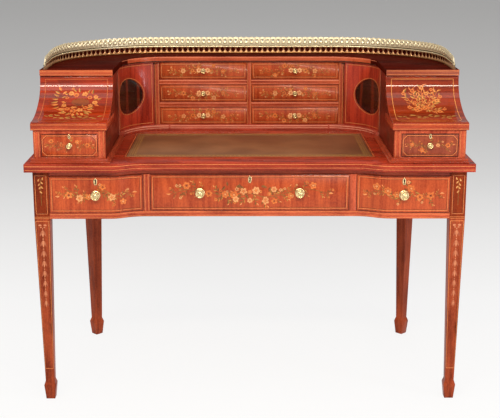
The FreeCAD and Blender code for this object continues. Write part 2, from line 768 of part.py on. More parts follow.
flank_end = set_back(cove_set - size.door_thick / 2 - size.seat_gap)
wing_y = (set_back(size.wing_set), flank_front)
wing_hole = (size.wing_inner + size.wing_stile_wide, size.wing_outer - size.wing_stile_wide)
wing_cell = (size.writing_height + size.wing_sill_high,
             size.writing_height + size.wing_sill_high + size.wing_drawer_high)
inner_flank = (size.wing_inner, size.wing_inner + size.flank_thick)
outer_flank = (size.wing_outer - size.flank_thick, size.wing_outer)
wing_space = (inner_flank[1], outer_flank[0])
plinth_z = (size.writing_height, size.writing_height + size.wing_plinth_high)
flanks, frames, ledges, plinths, inner_boards = [], [], [], [], []
for word, side in SIDES:
    flanks.append(profile(f"flank_inner_{word}", flank_outline(flank_end), span(side, *inner_flank)))
    flanks.append(profile(f"flank_outer_{word}", flank_outline(case_turn), span(side, *outer_flank)))
    whole = block(f"frame_board_{word}", span(side, size.wing_inner, size.wing_outer), wing_y,
                  (size.writing_height, ledge_foot))
    hole = block(f"frame_hole_{word}", span(side, *wing_hole), wing_y, wing_cell)
    frames.append(cut(f"wing_frame_{word}", whole, [hole]))

    ledge_z = (ledge_foot, ledge_top)
    inner_lap, outer_lap = size.wing_inner - size.ledge_lap, size.wing_outer + size.ledge_lap
    ledge_front = (set_back(size.wing_set - size.ledge_reach), flank_front)
    ledge_side = (flank_front, set_back(size.lid_top_set))
    floor_y = (flank_front, set_back(wing_floor_set))
    ledges.append(fuse(f"wing_ledge_{word}", [
        block(f"ledge_front_{word}", span(side, inner_lap, outer_lap), ledge_front, ledge_z),
        block(f"ledge_floor_{word}", span(side, *wing_space), floor_y, ledge_z),
        block(f"ledge_in_{word}", span(side, inner_lap, size.wing_inner), ledge_side, ledge_z),
        block(f"ledge_out_{word}", span(side, size.wing_outer, outer_lap), ledge_side, ledge_z),
    ]))

    inner_foot, outer_foot = size.wing_inner - size.plinth_lap, size.wing_outer + size.plinth_lap
    toe = set_back(size.wing_set - size.plinth_lap)
    face = wing_y[0]
    low_inner, low_z = size.wing_inner - size.toe_lap, (plinth_z[0], plinth_z[0] + size.toe_high)
    low_toe = set_back(size.wing_set - size.toe_reach)
    plinths.append(fuse(f"wing_plinth_{word}", [
        block(f"low_front_{word}", span(side, low_inner, outer_foot), (low_toe, face), low_z),
        block(f"low_in_{word}", span(side, low_inner, size.wing_inner), (face, base_end), low_z),
        block(f"toe_front_{word}", span(side, inner_foot, outer_foot), (toe, face), plinth_z),
        block(f"toe_in_{word}", span(side, inner_foot, size.wing_inner), (face, base_end), plinth_z),
        block(f"toe_out_{word}", span(side, size.wing_outer, outer_foot), (face, case_turn), plinth_z),
    ]))

    beside_y = (flank_front, set_back(size.wing_guide_back))
    sill = (size.writing_height, wing_cell[0])
    for end, hole_x, wall_x in (("in", wing_hole[0], wing_space[0]),
                                ("out", wing_hole[1], wing_space[1])):
        low, high = (wall_x, hole_x) if end == "in" else (hole_x, wall_x)
        lift = size.wing_stile_wide
        bearer = (wall_x, wall_x + lift) if end == "in" else (wall_x - lift, wall_x)
        inner_boards.append(block(f"wing_bearer_{end}_{word}", span(side, *bearer), beside_y, sill))
        inner_boards.append(block(f"wing_guide_{end}_{word}", span(side, low, high), beside_y,
                                  wing_cell))
    back_y = (set_back(wing_floor_set - size.wing_back_thick), floor_y[1])
    inner_boards.append(block(f"wing_back_{word}", span(side, *wing_space), back_y,
                              (ledge_top, case_top)))
node("wing_flanks", group("wing_flanks", flanks))
node("wing_frames", group("wing_frames", frames))
node("wing_ledges", group("wing_ledges", ledges))
node("wing_plinths", group("wing_plinths", plinths))
node("wing_inner_boards", group("wing_inner_boards", inner_boards))

wing_z = (wing_cell[0] + size.seat_gap, wing_cell[1] - size.head_gap)
wing_drawer_y = (wing_y[0], wing_y[0] + size.wing_front_thick)
for word, side in SIDES:
    name = f"wing_drawer_{word}"
    x_span = span(side, wing_hole[0] + size.side_gap, wing_hole[1] - size.side_gap)
    middle_x, middle_z = (x_span[0] + x_span[1]) / 2, (wing_z[0] + wing_z[1]) / 2
    front = block(name + "_front", x_span, wing_drawer_y, wing_z)
    lining = drawer_lining(name, x_span, (wing_drawer_y[1], wing_drawer_y[1]),
                           set_back(size.wing_drawer_back), wing_z, size.wing_lining_thick)
    node(name, group(name, [front] + lining))
    node(name + "_fittings", group(name + "_fittings", [
        knob(name + "_knob", "small_", middle_x, wing_y[0], middle_z),
        keyhole_plate(name + "_keyhole", middle_x, wing_y[0], middle_z + size.wing_keyhole_rise),
    ]))


# Hollow lids over the wings, on small cranked hinges under the shelf

lid_axis_y = set_back(lid_axis_set)
lid_back_join = lid_join(size.lid_thick)
lid_face_join = lid_join(Size(0, "0"))
lid_outline = [
    (set_back(size.lid_set), lid_foot_z),
    (set_back(broad_set(lid_foot_z, size.lid_thick)), lid_foot_z,
     broad + size.lid_thick, COUNTER),
    (set_back(lid_back_join[0]), lid_back_join[1], tight + size.lid_thick, COUNTER),
    (set_back(size.lid_top_set + size.lid_thick), lid_axis_z, size.lid_thick / 2, COUNTER),
    (lid_axis_y, lid_axis_z + size.lid_thick / 2, size.lid_thick / 2, COUNTER),
    (set_back(size.lid_top_set), lid_axis_z, tight, CLOCK),
    (set_back(lid_face_join[0]), lid_face_join[1], broad, CLOCK),
    (set_back(size.lid_set), lid_face_z),
]
lid_x = (size.wing_inner - size.ledge_lap, size.wing_outer + size.ledge_lap)
leaf_z = (case_top - size.leaf_thick, case_top)
neck_z = (lid_axis_z - size.leaf_thick / 2, lid_axis_z + size.leaf_thick / 2)
crank_set = lid_axis_y + size.lid_thick / 2 + size.leaf_clear
crank_y = (crank_set, crank_set + size.leaf_thick)
slot_y = (lid_axis_y - size.side_gap, lid_axis_y + size.lid_thick)
slot_z = (neck_z[0] - size.side_gap, case_top)
hinge_pieces = []
for word, side in SIDES:
    board = profile(f"lid_board_{word}", lid_outline, span(side, *lid_x))
    clearances = []
    for end, middle in (("in", lid_x[0] + size.hinge_inset), ("out", lid_x[1] - size.hinge_inset)):
        name = f"{end}_{word}"
        barrel_low = middle * side - size.knuckle_wide / 2
        pin_low = middle * side - size.lid_pin_long / 2

        def barrel(part, radius, length, low):
            bar = rod(f"{part}_{name}", radius, length, low, lid_axis_y, lid_axis_z)
            return turn(bar, (0, 1, 0), 90)

        slot_low = barrel_low - size.side_gap
        slot_wide = size.knuckle_wide + size.side_gap * 2
        clearances += [
            block(f"hinge_slot_{name}", (slot_low, slot_low + slot_wide), slot_y, slot_z),
            barrel("knuckle_room", size.knuckle_radius + size.knuckle_gap, slot_wide, slot_low),
            barrel("pin_bore", size.lid_pin_radius + size.pin_gap, size.lid_pin_long, pin_low),
        ]
        leaf_x = (barrel_low, barrel_low + size.knuckle_wide)
        knuckle = fuse(f"hinge_solid_{name}", [
            barrel("knuckle", size.knuckle_radius, size.knuckle_wide, barrel_low),
            block(f"hinge_neck_{name}", leaf_x, (lid_axis_y, crank_y[1]), neck_z),
            block(f"hinge_crank_{name}", leaf_x, crank_y, (neck_z[0], case_top)),
            block(f"hinge_leaf_{name}", leaf_x, (crank_y[0], lid_axis_y + size.leaf_long), leaf_z),
        ])
        bore = barrel("knuckle_bore", size.lid_pin_radius, size.knuckle_wide, barrel_low)
        hinge_pieces.append(cut(f"lid_hinge_{name}", knuckle, [bore]))
        hinge_pieces.append(barrel("lid_pin", size.lid_pin_radius, size.lid_pin_long, pin_low))
    node(f"lid_{word}", cut(f"lid_{word}", board, clearances))
node("lid_hinges", group("lid_hinges", hinge_pieces))


# Concave cupboard doors on pivots, each with an oval panel let into it

def cove_point(radius, x):
    run = x - cove_x
    return x, set_back(cove_set + (radius * radius - run * run).root())


pivot_reach = size.door_thick / 2
door_outline = [
    (cove_x + size.cupboard_radius, pivot_y, pivot_reach, COUNTER),
    (pivot_x, pivot_y - pivot_reach, pivot_reach, COUNTER),
    (cove_x + door_back_radius, pivot_y, door_back_radius, COUNTER),
    cove_point(door_back_radius, size.door_edge + size.door_bevel),
    cove_point(size.cupboard_radius, size.door_edge) + (size.cupboard_radius, CLOCK),
]
face_radius = size.cupboard_radius + size.oval_recess
rear_radius = face_radius + size.oval_thick
panel_edge = size.door_edge + size.door_bevel * 2
panel_outline = [
    (cove_x + face_radius, pivot_y), (cove_x + rear_radius, pivot_y, rear_radius, COUNTER),
    cove_point(rear_radius, panel_edge),
    cove_point(face_radius, panel_edge) + (face_radius, CLOCK),
]
door_z = (nest_floor + size.seat_gap, case_top - size.seat_gap)
oval_angle = size.oval_place.mm / size.cupboard_radius.mm
middle_radius = size.cupboard_radius.mm + size.door_thick.mm / 2


def oval_bar(name, side, gap):
    """An oval bar through the door, square to its face where its centre is."""
    ellipse = doc.addObject("Part::Ellipse", name + "_ellipse")
    bind(ellipse, "MajorRadius", size.oval_wide / 2 - gap)
    bind(ellipse, "MinorRadius", size.oval_high / 2 - gap)
    outward = FreeCAD.Vector(side * math.cos(oval_angle), math.sin(oval_angle), 0)
    upright = FreeCAD.Vector(0, 0, 1)
    ellipse.Placement = FreeCAD.Placement(
        FreeCAD.Vector(side * cove_x.mm, pivot_y.mm, (door_z[0].mm + door_z[1].mm) / 2)
        + outward * middle_radius,
        FreeCAD.Rotation(upright.cross(outward), upright, outward, "XZY"))
    bar = doc.addObject("Part::Extrusion", name)
    bar.Base = ellipse
    bar.DirMode = "Normal"
    bar.Solid = True
    bar.Symmetric = True
    bind(bar, "LengthFwd", size.door_thick * 4)
    return bar


pin_long = size.pivot_in_door + size.seat_gap + size.pivot_in_board
pin_feet = (("lower", socket_foot), ("upper", door_z[1] - size.pivot_in_door))
for word, side in SIDES:
    board = plate(f"door_board_{word}", sided(side, door_outline), door_z)
    bores = [rod(f"door_bore_{end}_{word}", size.pivot_radius, pin_long, pivot_x * side,
                 pivot_y, foot) for end, foot in pin_feet]
    node(f"cupboard_door_{word}", cut(f"cupboard_door_{word}", board, [
        oval_bar(f"oval_hole_{word}", side, Size(0, "0"))] + bores))
    panel = plate(f"oval_board_{word}", sided(side, panel_outline), door_z)
    oval = oval_bar(f"oval_core_{word}", side, size.inlay_gap)
    node(f"door_oval_{word}", common(f"door_oval_{word}", panel, oval))
    pins = [rod(f"door_pin_{end}_{word}", size.pivot_radius, pin_long, pivot_x * side,
                pivot_y, foot) for end, foot in pin_feet]
    node(f"door_pivots_{word}", group(f"door_pivots_{word}", pins))


# Gallery round the shelf: foot rail, posts, middle rail and upper band

post_z = shelf_top + size.foot_rail_high
middle_z = post_z + size.post_high
band_z = middle_z + size.middle_rail_high


def gallery_strip(name, thick, low, high):
    lap = thick / 2
    outline = horseshoe(rail_half + lap, rail_rear + lap, rail_radius + lap, thick,
                        size.gallery_front)
    return plate(name, outline, (low, high))


node("gallery_rails", group("gallery_rails", [
    gallery_strip("gallery_foot", size.rail_wide, shelf_top, post_z),
    gallery_strip("gallery_middle", size.rail_wide, middle_z, band_z),
]))
node("gallery_band", gallery_strip("gallery_band", size.band_thick, band_z,
                                   band_z + size.gallery_band_high))


def along_gallery(distance):
    """The point of the gallery's centre line this far from its left front end."""
    straight = rail_rear.mm - rail_radius.mm - size.gallery_front.mm
    quarter = rail_radius.mm * math.pi / 2
    half_back = rail_half.mm - rail_radius.mm
    side, rest = LEFT, distance
    if rest > straight + quarter + half_back:
        side, rest = RIGHT, 2 * (straight + quarter + half_back) - rest
    if rest < straight:
        x, s = rail_half.mm, size.gallery_front.mm + rest
    elif rest < straight + quarter:
        angle = (rest - straight) / rail_radius.mm
        x = half_back + rail_radius.mm * math.cos(angle)
        s = rail_rear.mm - rail_radius.mm + rail_radius.mm * math.sin(angle)
    else:
        x, s = straight + quarter + half_back - rest, rail_rear.mm
    return side * x, s - size.top_depth.mm / 2


def gallery_posts():
    """Evenly spaced posts between the foot rail and the middle rail, as separate solids."""
    length = 2 * (rail_rear.mm - rail_radius.mm - size.gallery_front.mm
                  + rail_radius.mm * math.pi / 2 + rail_half.mm - rail_radius.mm)
    count = round(length / size.post_pitch.mm)
    posts = []
    for index in range(count):
        x, y = along_gallery(length * (index + 0.5) / count)
        foot = FreeCAD.Vector(x, y, post_z.mm)
        posts.append(Part.makeCylinder(size.post_radius.mm, size.post_high.mm, foot))
    for side in (LEFT, RIGHT):
        foot = FreeCAD.Vector(side * rail_half.mm, set_back(size.gallery_front).mm
                              - size.end_post_radius.mm, shelf_top.mm)
        posts.append(Part.makeCylinder(size.end_post_radius.mm, size.end_post_high.mm, foot))
    return Part.makeCompound(posts)


posts = doc.addObject("Part::Feature", "gallery_posts")
posts.Shape = gallery_posts()
node("gallery_posts", posts)


# Build, test and write

doc.recompute()
for thing in doc.Objects:
    if "Invalid" in thing.State or "Error" in thing.State:
        raise RuntimeError(f"{thing.Name} failed: {thing.State}")
for name, thing in nodes.items():
    if thing.Shape.isNull() or not thing.Shape.isValid():
        raise RuntimeError(f"{name} has no valid shape")
os.makedirs("parts", exist_ok=True)
for name, thing in nodes.items():
    thing.Shape.exportStep(f"parts/{name}.step")
    print(name, len(thing.Shape.Solids), "solids", round(thing.Shape.Volume / 1000), "cm3")
print(len(nodes), "nodes")
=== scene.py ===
import math
import random

import bmesh
import bpy
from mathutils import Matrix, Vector


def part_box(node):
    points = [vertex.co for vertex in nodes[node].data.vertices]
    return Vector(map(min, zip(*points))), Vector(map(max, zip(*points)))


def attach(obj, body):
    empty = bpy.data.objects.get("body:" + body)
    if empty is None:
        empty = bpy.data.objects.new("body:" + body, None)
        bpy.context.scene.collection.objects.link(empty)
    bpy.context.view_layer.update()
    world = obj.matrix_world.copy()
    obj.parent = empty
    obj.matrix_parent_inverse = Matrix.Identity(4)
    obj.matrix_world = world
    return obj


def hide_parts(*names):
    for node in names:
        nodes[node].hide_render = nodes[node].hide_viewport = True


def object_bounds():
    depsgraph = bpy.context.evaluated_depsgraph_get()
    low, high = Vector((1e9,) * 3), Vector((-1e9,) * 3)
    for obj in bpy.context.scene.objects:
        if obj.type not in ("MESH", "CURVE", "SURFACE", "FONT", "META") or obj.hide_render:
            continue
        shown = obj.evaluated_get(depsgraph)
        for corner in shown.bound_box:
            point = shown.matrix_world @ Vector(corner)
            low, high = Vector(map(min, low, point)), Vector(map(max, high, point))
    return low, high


# %% [markdown]
# A D-shaped writing desk with a horseshoe of small drawers, cupboards and lidded wings on its top.
# Its carcase, drawers, lids and doors are loaded as finished solids. This lesson gives them
# polished timber, and adds what a cabinet maker adds last: brass, inlay and the pierced gallery.
# Lengths are in metres, X runs to the right, Y from the front edge to the back, and Z up.

# %% Load the solids
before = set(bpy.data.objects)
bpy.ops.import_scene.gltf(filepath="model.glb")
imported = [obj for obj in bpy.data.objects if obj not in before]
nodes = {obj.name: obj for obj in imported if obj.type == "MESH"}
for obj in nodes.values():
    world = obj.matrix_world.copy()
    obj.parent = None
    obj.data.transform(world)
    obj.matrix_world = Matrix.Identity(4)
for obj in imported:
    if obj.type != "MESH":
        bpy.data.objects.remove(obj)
cad_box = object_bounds()

# %% [markdown]
# Most sizes on this desk are counted backwards from the front edge of the top, because that is
# how a maker marks it out. One function turns such a distance into a Y coordinate.

# %% Marking out
FRONT_EDGE = cad_box[0].y
SIDES = (("left", -1), ("right", 1))
ROWS = ("lower", "middle", "upper")


def set_back(distance):
    """The Y of a point this far behind the front edge of the top."""
    return FRONT_EDGE + distance


def add_object(name, data):
    """A new object in the scene, made from this data."""
    made = bpy.data.objects.new(name, data)
    bpy.context.scene.collection.objects.link(made)
    return made


print("front edge at", round(FRONT_EDGE, 3))

# %% [markdown]
# The camera stands a little over three metres in front of the desk at the height of a standing
# person's eyes, tilted down, with a long lens so that the legs stay straight.

# %% Camera
CAMERA_DISTANCE, CAMERA_HEIGHT, CAMERA_ASIDE = 3.25, 1.4233, -0.0147
CAMERA_TILT, CAMERA_TURN = 14.015, -0.264
camera_data = bpy.data.cameras.new("camera")
camera_data.lens = 81.96
camera = add_object("camera", camera_data)
camera.location = (CAMERA_ASIDE, set_back(-CAMERA_DISTANCE), CAMERA_HEIGHT)
camera.rotation_euler = (math.radians(90 - CAMERA_TILT), 0, math.radians(CAMERA_TURN))
bpy.context.scene.camera = camera
bpy.context.scene.view_settings.view_transform = "Standard"

# %% [markdown]
# A node group is a small program of its own. These helpers write the boilerplate: one adds a
# node and wires its inputs, another opens a group with named sockets.

# %% Node helpers
def add_node(tree, kind, inputs=(), **settings):
    """A node with its settings, and its inputs wired to sockets or set to values."""
    made = tree.nodes.new(kind)
    for name, value in settings.items():
        setattr(made, name, value)
    for key, value in dict(inputs).items():
        socket = made.inputs[key]
        if isinstance(value, bpy.types.NodeSocket):
            tree.links.new(value, socket)
        else:
            socket.default_value = value
    return made


def calculate(tree, operation, first, second=0.0, clamp=False):
    return add_node(tree, "ShaderNodeMath", {0: first, 1: second}, operation=operation,
                    use_clamp=clamp).outputs[0]


def remap(tree, value, low, high, new_low=0.0, new_high=1.0):
    """The value moved smoothly from one range to another, and held at its ends."""
    return add_node(tree, "ShaderNodeMapRange", {
        "Value": value, "From Min": low, "From Max": high, "To Min": new_low,
        "To Max": new_high}, interpolation_type="SMOOTHSTEP").outputs[0]


def blend_colours(tree, factor, first, second):
    return add_node(tree, "ShaderNodeMix", {0: factor, 6: first, 7: second},
                    data_type="RGBA").outputs[2]


def noise(tree, vector, scale, detail=2.0, roughness=0.5, distortion=0.0):
    return add_node(tree, "ShaderNodeTexNoise", {
        "Vector": vector, "Scale": scale, "Detail": detail, "Roughness": roughness,
        "Distortion": distortion}).outputs[0]


def stretched(tree, vector, scale):
    return add_node(tree, "ShaderNodeMapping", {"Vector": vector, "Scale": scale}).outputs[0]


def object_place(tree):
    return add_node(tree, "ShaderNodeTexCoord").outputs["Object"]


def open_group(name, inputs, outputs):
    group = bpy.data.node_groups.new(name, "ShaderNodeTree")
    for title, kind, value in inputs:
        socket = group.interface.new_socket(title, in_out="INPUT", socket_type=kind)
        if value is not None:
            socket.default_value = value
    for title, kind in outputs:
        group.interface.new_socket(title, in_out="OUTPUT", socket_type=kind)
    return group, add_node(group, "NodeGroupInput").outputs, add_node(group, "NodeGroupOutput")


def use_group(tree, group, values):
    return add_node(tree, "ShaderNodeGroup", values, node_tree=group).outputs


# %% [markdown]
# Polished mahogany shows three things at once: long dark grain lines, a slow ribbon of light
# and shade that comes from the way the log was cut, and tiny open pores. The group takes a
# coordinate whose X runs with the grain, and gives a colour, a roughness and a height.

# %% Timber group
COLOUR, NUMBER, VECTOR = "NodeSocketColor", "NodeSocketFloat", "NodeSocketVector"
GRAIN_STRETCH = (5.0, 95.0, 95.0)
RIBBON_STRETCH = (6.0, 21.0, 21.0)
PORE_STRETCH = (90.0, 1500.0, 1500.0)
FLECK_STRETCH = (170.0, 330.0, 330.0)
GRAIN_SHARE, FLECK_SHARE, PORE_SHARE, RIBBON_SHIFT = 0.55, 0.3, 0.35, 0.1
GRAIN_ROUGH, GRAIN_HEIGHT = 0.09, 0.4
timber, given, result = open_group("timber", [
    ("Along grain", VECTOR, None), ("Pale", COLOUR, (0.5, 0.1, 0.03, 1)),
    ("Dark", COLOUR, (0.2, 0.03, 0.01, 1)), ("Ribbon", NUMBER, 0.5), ("Polish", NUMBER, 0.25),
], [("Colour", COLOUR), ("Roughness", NUMBER), ("Height", NUMBER)])
lines = noise(timber, stretched(timber, given[0], GRAIN_STRETCH), 1.0, 5.0, 0.62, 0.25)
ribbon = noise(timber, stretched(timber, given[0], RIBBON_STRETCH), 1.0, 2.0, 0.5, 0.8)
pores = noise(timber, stretched(timber, given[0], PORE_STRETCH), 1.0, 1.0)
flecks = noise(timber, stretched(timber, given[0], FLECK_STRETCH), 1.0, 2.0, 0.6)
grain_shade = calculate(timber, "MULTIPLY", remap(timber, lines, 0.32, 0.66), GRAIN_SHARE)
ribbon_shade = calculate(timber, "MULTIPLY", remap(timber, ribbon, 0.35, 0.68), given[3])
fleck_shade = calculate(timber, "MULTIPLY", remap(timber, flecks, 0.36, 0.64), FLECK_SHARE)
soft_shade = calculate(timber, "ADD", fleck_shade,
                       calculate(timber, "SUBTRACT", ribbon_shade, RIBBON_SHIFT))
lightness = calculate(timber, "ADD", grain_shade, soft_shade, clamp=True)
body_colour = blend_colours(timber, lightness, given[2], given[1])
pore_strength = calculate(timber, "MULTIPLY", remap(timber, pores, 0.62, 0.72), PORE_SHARE)
timber.links.new(blend_colours(timber, pore_strength, body_colour, given[2]), result.inputs[0])
rough = calculate(timber, "ADD", given[4], calculate(timber, "MULTIPLY", lines, GRAIN_ROUGH))
timber.links.new(rough, result.inputs[1])
height = calculate(timber, "SUBTRACT", calculate(timber, "MULTIPLY", lines, GRAIN_HEIGHT),
                   pore_strength)
timber.links.new(height, result.inputs[2])
print("timber group:", len(timber.nodes), "nodes")

# %% [markdown]
# Two centuries of hands and wax leave slow clouds in the colour and the shine. One group makes
# them for every finish on the desk, each finish saying how strong they are.

# %% Age group
CLOUD_VALUE, CLOUD_ROUGH = 0.55, 0.25
aged, given, result = open_group("age", [
    ("Place", VECTOR, None), ("Colour", COLOUR, (0.5, 0.5, 0.5, 1)), ("Roughness", NUMBER, 0.3),
    ("Strength", NUMBER, 0.3), ("Size", NUMBER, 9.0),
], [("Colour", COLOUR), ("Roughness", NUMBER)])
clouds = noise(aged, given[0], given[4], 4.0, 0.6)
cloud_mask = calculate(aged, "MULTIPLY", remap(aged, clouds, 0.4, 0.7), given[3])
shade = add_node(aged, "ShaderNodeHueSaturation", {
    "Value": CLOUD_VALUE, "Color": given[1]}).outputs[0]
aged.links.new(blend_colours(aged, cloud_mask, given[1], shade), result.inputs[0])
worn = calculate(aged, "ADD", given[2], calculate(aged, "MULTIPLY", cloud_mask, CLOUD_ROUGH))
aged.links.new(worn, result.inputs[1])


# %% [markdown]
# A material starts the same way each time: coordinates in the desk's own frame, so a pattern
# stays put on its piece, turned so that the first axis runs with the grain. Its colour and
# roughness go through the age group.

# %% Starting a material
GRAIN_TURNS = {"x": (0, 0, 0), "y": (0, 0, math.radians(90)), "z": (0, math.radians(90), 0)}


def srgb(red, green, blue):
    """A colour as it is read off a screen, from 0 to 255, made linear."""
    def linear(part):
        part = part / 255
        return part / 12.92 if part <= 0.04045 else ((part + 0.055) / 1.055) ** 2.4
    return linear(red), linear(green), linear(blue), 1.0


def start_material(name, axis="x"):
    material = bpy.data.materials.new(name)
    material.use_nodes = True
    tree = material.node_tree
    shader = next(n for n in tree.nodes if n.type == "BSDF_PRINCIPLED")
    turned = add_node(tree, "ShaderNodeMapping", {
        "Vector": object_place(tree), "Rotation": GRAIN_TURNS[axis]}).outputs[0]
    return material, tree, shader, turned


def set_values(shader, **values):
    """Plain values on the shader's own sockets, an underscore standing for a blank."""
    for key, value in values.items():
        shader.inputs[key.replace("_", " ")].default_value = value


def wear(tree, shader, place, colour, roughness, strength, size):
    """Colour and roughness on their way to the shader through the age group."""
    old = use_group(tree, aged, {
        "Place": place, "Colour": colour, "Roughness": roughness, "Strength": strength,
        "Size": size})
    tree.links.new(old[0], shader.inputs["Base Color"])
    tree.links.new(old[1], shader.inputs["Roughness"])


def add_bump(tree, shader, height, strength, distance=0.0004):
    bump = add_node(tree, "ShaderNodeBump", {
        "Height": height, "Strength": strength, "Distance": distance})
    tree.links.new(bump.outputs[0], shader.inputs["Normal"])


def finish_wood(name, axis, pale, dark, ribbon=0.5, polish=0.25, coat=0.12, age=0.3, size=9.0,
                shine=0.22, coat_rough=0.1, relief=0.12):
    """Timber under French polish, with its grain along one axis."""
    material, tree, shader, along = start_material(name, axis)
    wood = use_group(tree, timber, {
        "Along grain": along, "Pale": srgb(*pale), "Dark": srgb(*dark), "Ribbon": ribbon,
        "Polish": polish})
    wear(tree, shader, along, wood[0], wood[1], age, size)
    set_values(shader, Specular_IOR_Level=shine, Coat_Weight=coat, Coat_Roughness=coat_rough)
    add_bump(tree, shader, wood[2], relief)
    return material


# %% [markdown]
# The desk uses one timber in several lights: orange veneer with upright grain on the drawer
# fronts, redder wood on rails and lids, and darker stuff for the legs. The shelf takes a near-black
# wood with almost no shine, which is painted shade and painted dark reflection. The wings' inner
# flanks take a dark wood that is painted shade. The right lid, its drawer and the shelf's edge
# above them are duller copies of the left ones' woods, painted shade for the weaker light on that
# side, with a painted grey haze of reflection on the shelf's edge. The drawers are lined with
# plain pale wood that was never polished.

# %% Timbers
RED, DARK_RED = (204, 94, 60), (142, 48, 26)
LACQUER = {"coat_rough": 0.03, "shine": 0.05, "relief": 0.01}
WOODS = (  # name, grain axis, pale, dark, (ribbon, roughness, coat, age), special values
    ("drawer_veneer", "z", (200, 90, 46), (150, 52, 24), (0.35, 0.3), {}),
    # The _right woods are duller copies: painted shade for the weaker light on the right side.
    ("wing_veneer_right_shaded", "z", (166, 80, 52), (126, 50, 32), (0.35, 0.3), {}),
    ("rail_wood", "x", RED, DARK_RED, (0.5,), {}),
    ("upright_wood", "z", RED, DARK_RED, (0.4,), {}),
    ("edge_wood", "x", (200, 98, 60), (164, 62, 34), (0.4,), {}),
    # Greyer than edge_wood: a painted haze of reflection, with painted shade.
    ("edge_wood_right_hazed", "x", (170, 90, 64), (136, 60, 40), (0.4,), {}),
    ("lid_wood", "x", (176, 52, 12), (106, 24, 5), (0.5, 0.4, 0.9), LACQUER),
    ("lid_wood_right_shaded", "x", (160, 52, 14), (104, 28, 6), (0.5, 0.4, 0.9), LACQUER),
    # The inner flanks' dark wood is painted shade.
    ("flank_shade_wood", "y", (126, 36, 20), (74, 16, 9), (0.5, 0.26), {}),
    ("top_wood", "x", (184, 60, 30), (96, 18, 8), (0.55, 0.22, 0.15), {}),
    ("top_edge_wood", "x", (176, 64, 38), (130, 32, 17), (0.4,), {}),
    ("leg_wood", "z", (172, 78, 46), (108, 38, 20), (0.4, 0.3, 0.05), {"shine": 0.08}),
    ("stile_wood", "z", (146, 58, 26), (98, 30, 12), (0.4, 0.3, 0.05), {"shine": 0.1}),
    ("ledge_wood", "x", (186, 76, 42), (134, 42, 22), (0.45,), {}),
    ("base_wood", "x", (196, 88, 66), (156, 56, 40), (0.4, 0.22, 0.4), {}),
    # Near-black and almost without shine: painted shade and painted dark reflection on the shelf.
    ("shelf_shade_wood", "x", (88, 22, 10), (50, 10, 6), (0.4, 0.5, 0.0), {"shine": 0.005}),
    ("door_wood", "z", (190, 64, 40), (128, 32, 20), (0.5, 0.24, 0.3), {}),
    ("lining_wood", "x", (196, 160, 112), (150, 112, 70), (0.3, 0.55, 0.0, 0.2), {}),
)
finishes = {name: finish_wood(name, axis, pale, dark, *more, **special)
            for name, axis, pale, dark, more, special in WOODS}

# %% [markdown]
# The oval panels in the cupboard doors are cut from a striped black and brown timber, with its
# stripes upright. Bands across X give them, bent a little by noise so that no two are alike.

# %% Striped oval veneer
STRIPE_SPACING, STRIPE_WANDER, FINE_SHARE = 0.034, 3.0, 0.35
finishes["striped"], tree, shader, along = start_material("striped_veneer", "z")
place = object_place(tree)
wander = noise(tree, stretched(tree, place, (30, 30, 4)), 1.0, 3.0)
across = add_node(tree, "ShaderNodeSeparateXYZ", {0: place}).outputs[0]
bent = calculate(tree, "ADD", calculate(tree, "MULTIPLY", across, 2 * math.pi / STRIPE_SPACING),
                 calculate(tree, "MULTIPLY", wander, STRIPE_WANDER))
wave = calculate(tree, "SINE", bent)
stripe = blend_colours(tree, remap(tree, wave, 0.5, 0.95), srgb(22, 8, 8), srgb(98, 32, 18))
fine = noise(tree, stretched(tree, along, GRAIN_STRETCH), 2.0, 4.0)
stripe = blend_colours(tree, calculate(tree, "MULTIPLY", fine, FINE_SHARE), stripe, srgb(20, 8, 7))
tree.links.new(stripe, shader.inputs["Base Color"])
set_values(shader, Roughness=0.22, Coat_Weight=0.5)

# %% [markdown]
# The brass is old and mellow: pale gold where it is rubbed, and browner in slow patches. The
# leather is a tan hide with a fine pebble grain, darker where arms have rested on it.

# %% Brass and leather
METALS = (  # name, colour, roughness, metallic, age
    ("mellow_brass", (228, 200, 146), 0.26, 1.0, 0.35),
    ("knob_brass", (226, 200, 148), 0.22, 0.9, 0.1),
    ("bright_brass", (252, 238, 200), 0.3, 0.6, 0.12),
    # Dark brass for the gallery's recessed strip: patina in the hollow, and painted shade under the
    # bead above it.
    ("dark_brass", (104, 78, 44), 0.5, 1.0, 0.35),
    ("brown_brass", (178, 130, 82), 0.4, 1.0, 0.35),
    ("bobbin_brass", (194, 144, 102), 0.3, 0.7, 0.15),
    ("keyhole_dark", (44, 24, 14), 0.6, 0.2, 0.35),
)
for name, colour, rough, metallic, age in METALS:
    finishes[name], tree, shader, along = start_material(name)
    wear(tree, shader, along, srgb(*colour), rough, age, 70.0)
    set_values(shader, Metallic=metallic)
    add_bump(tree, shader, noise(tree, along, 900), 0.05)

finishes["leather"], tree, shader, along = start_material("writing_leather")
cells = add_node(tree, "ShaderNodeTexVoronoi", {"Vector": along, "Scale": 420.0})
tan = blend_colours(tree, remap(tree, noise(tree, along, 7, 3.0), 0.35, 0.7),
                    srgb(112, 69, 38), srgb(136, 88, 53))
wear(tree, shader, along, tan, 0.42, 0.2, 6.0)
add_bump(tree, shader, cells.outputs["Distance"], 0.25, 0.0006)

# %% [markdown]
# Marquetry is a picture cut from veneers. Each colour of veneer is one plain material with a
# trace of grain, and shaded edges, where the maker scorched the pieces in hot sand, are a
# second, browner veneer.

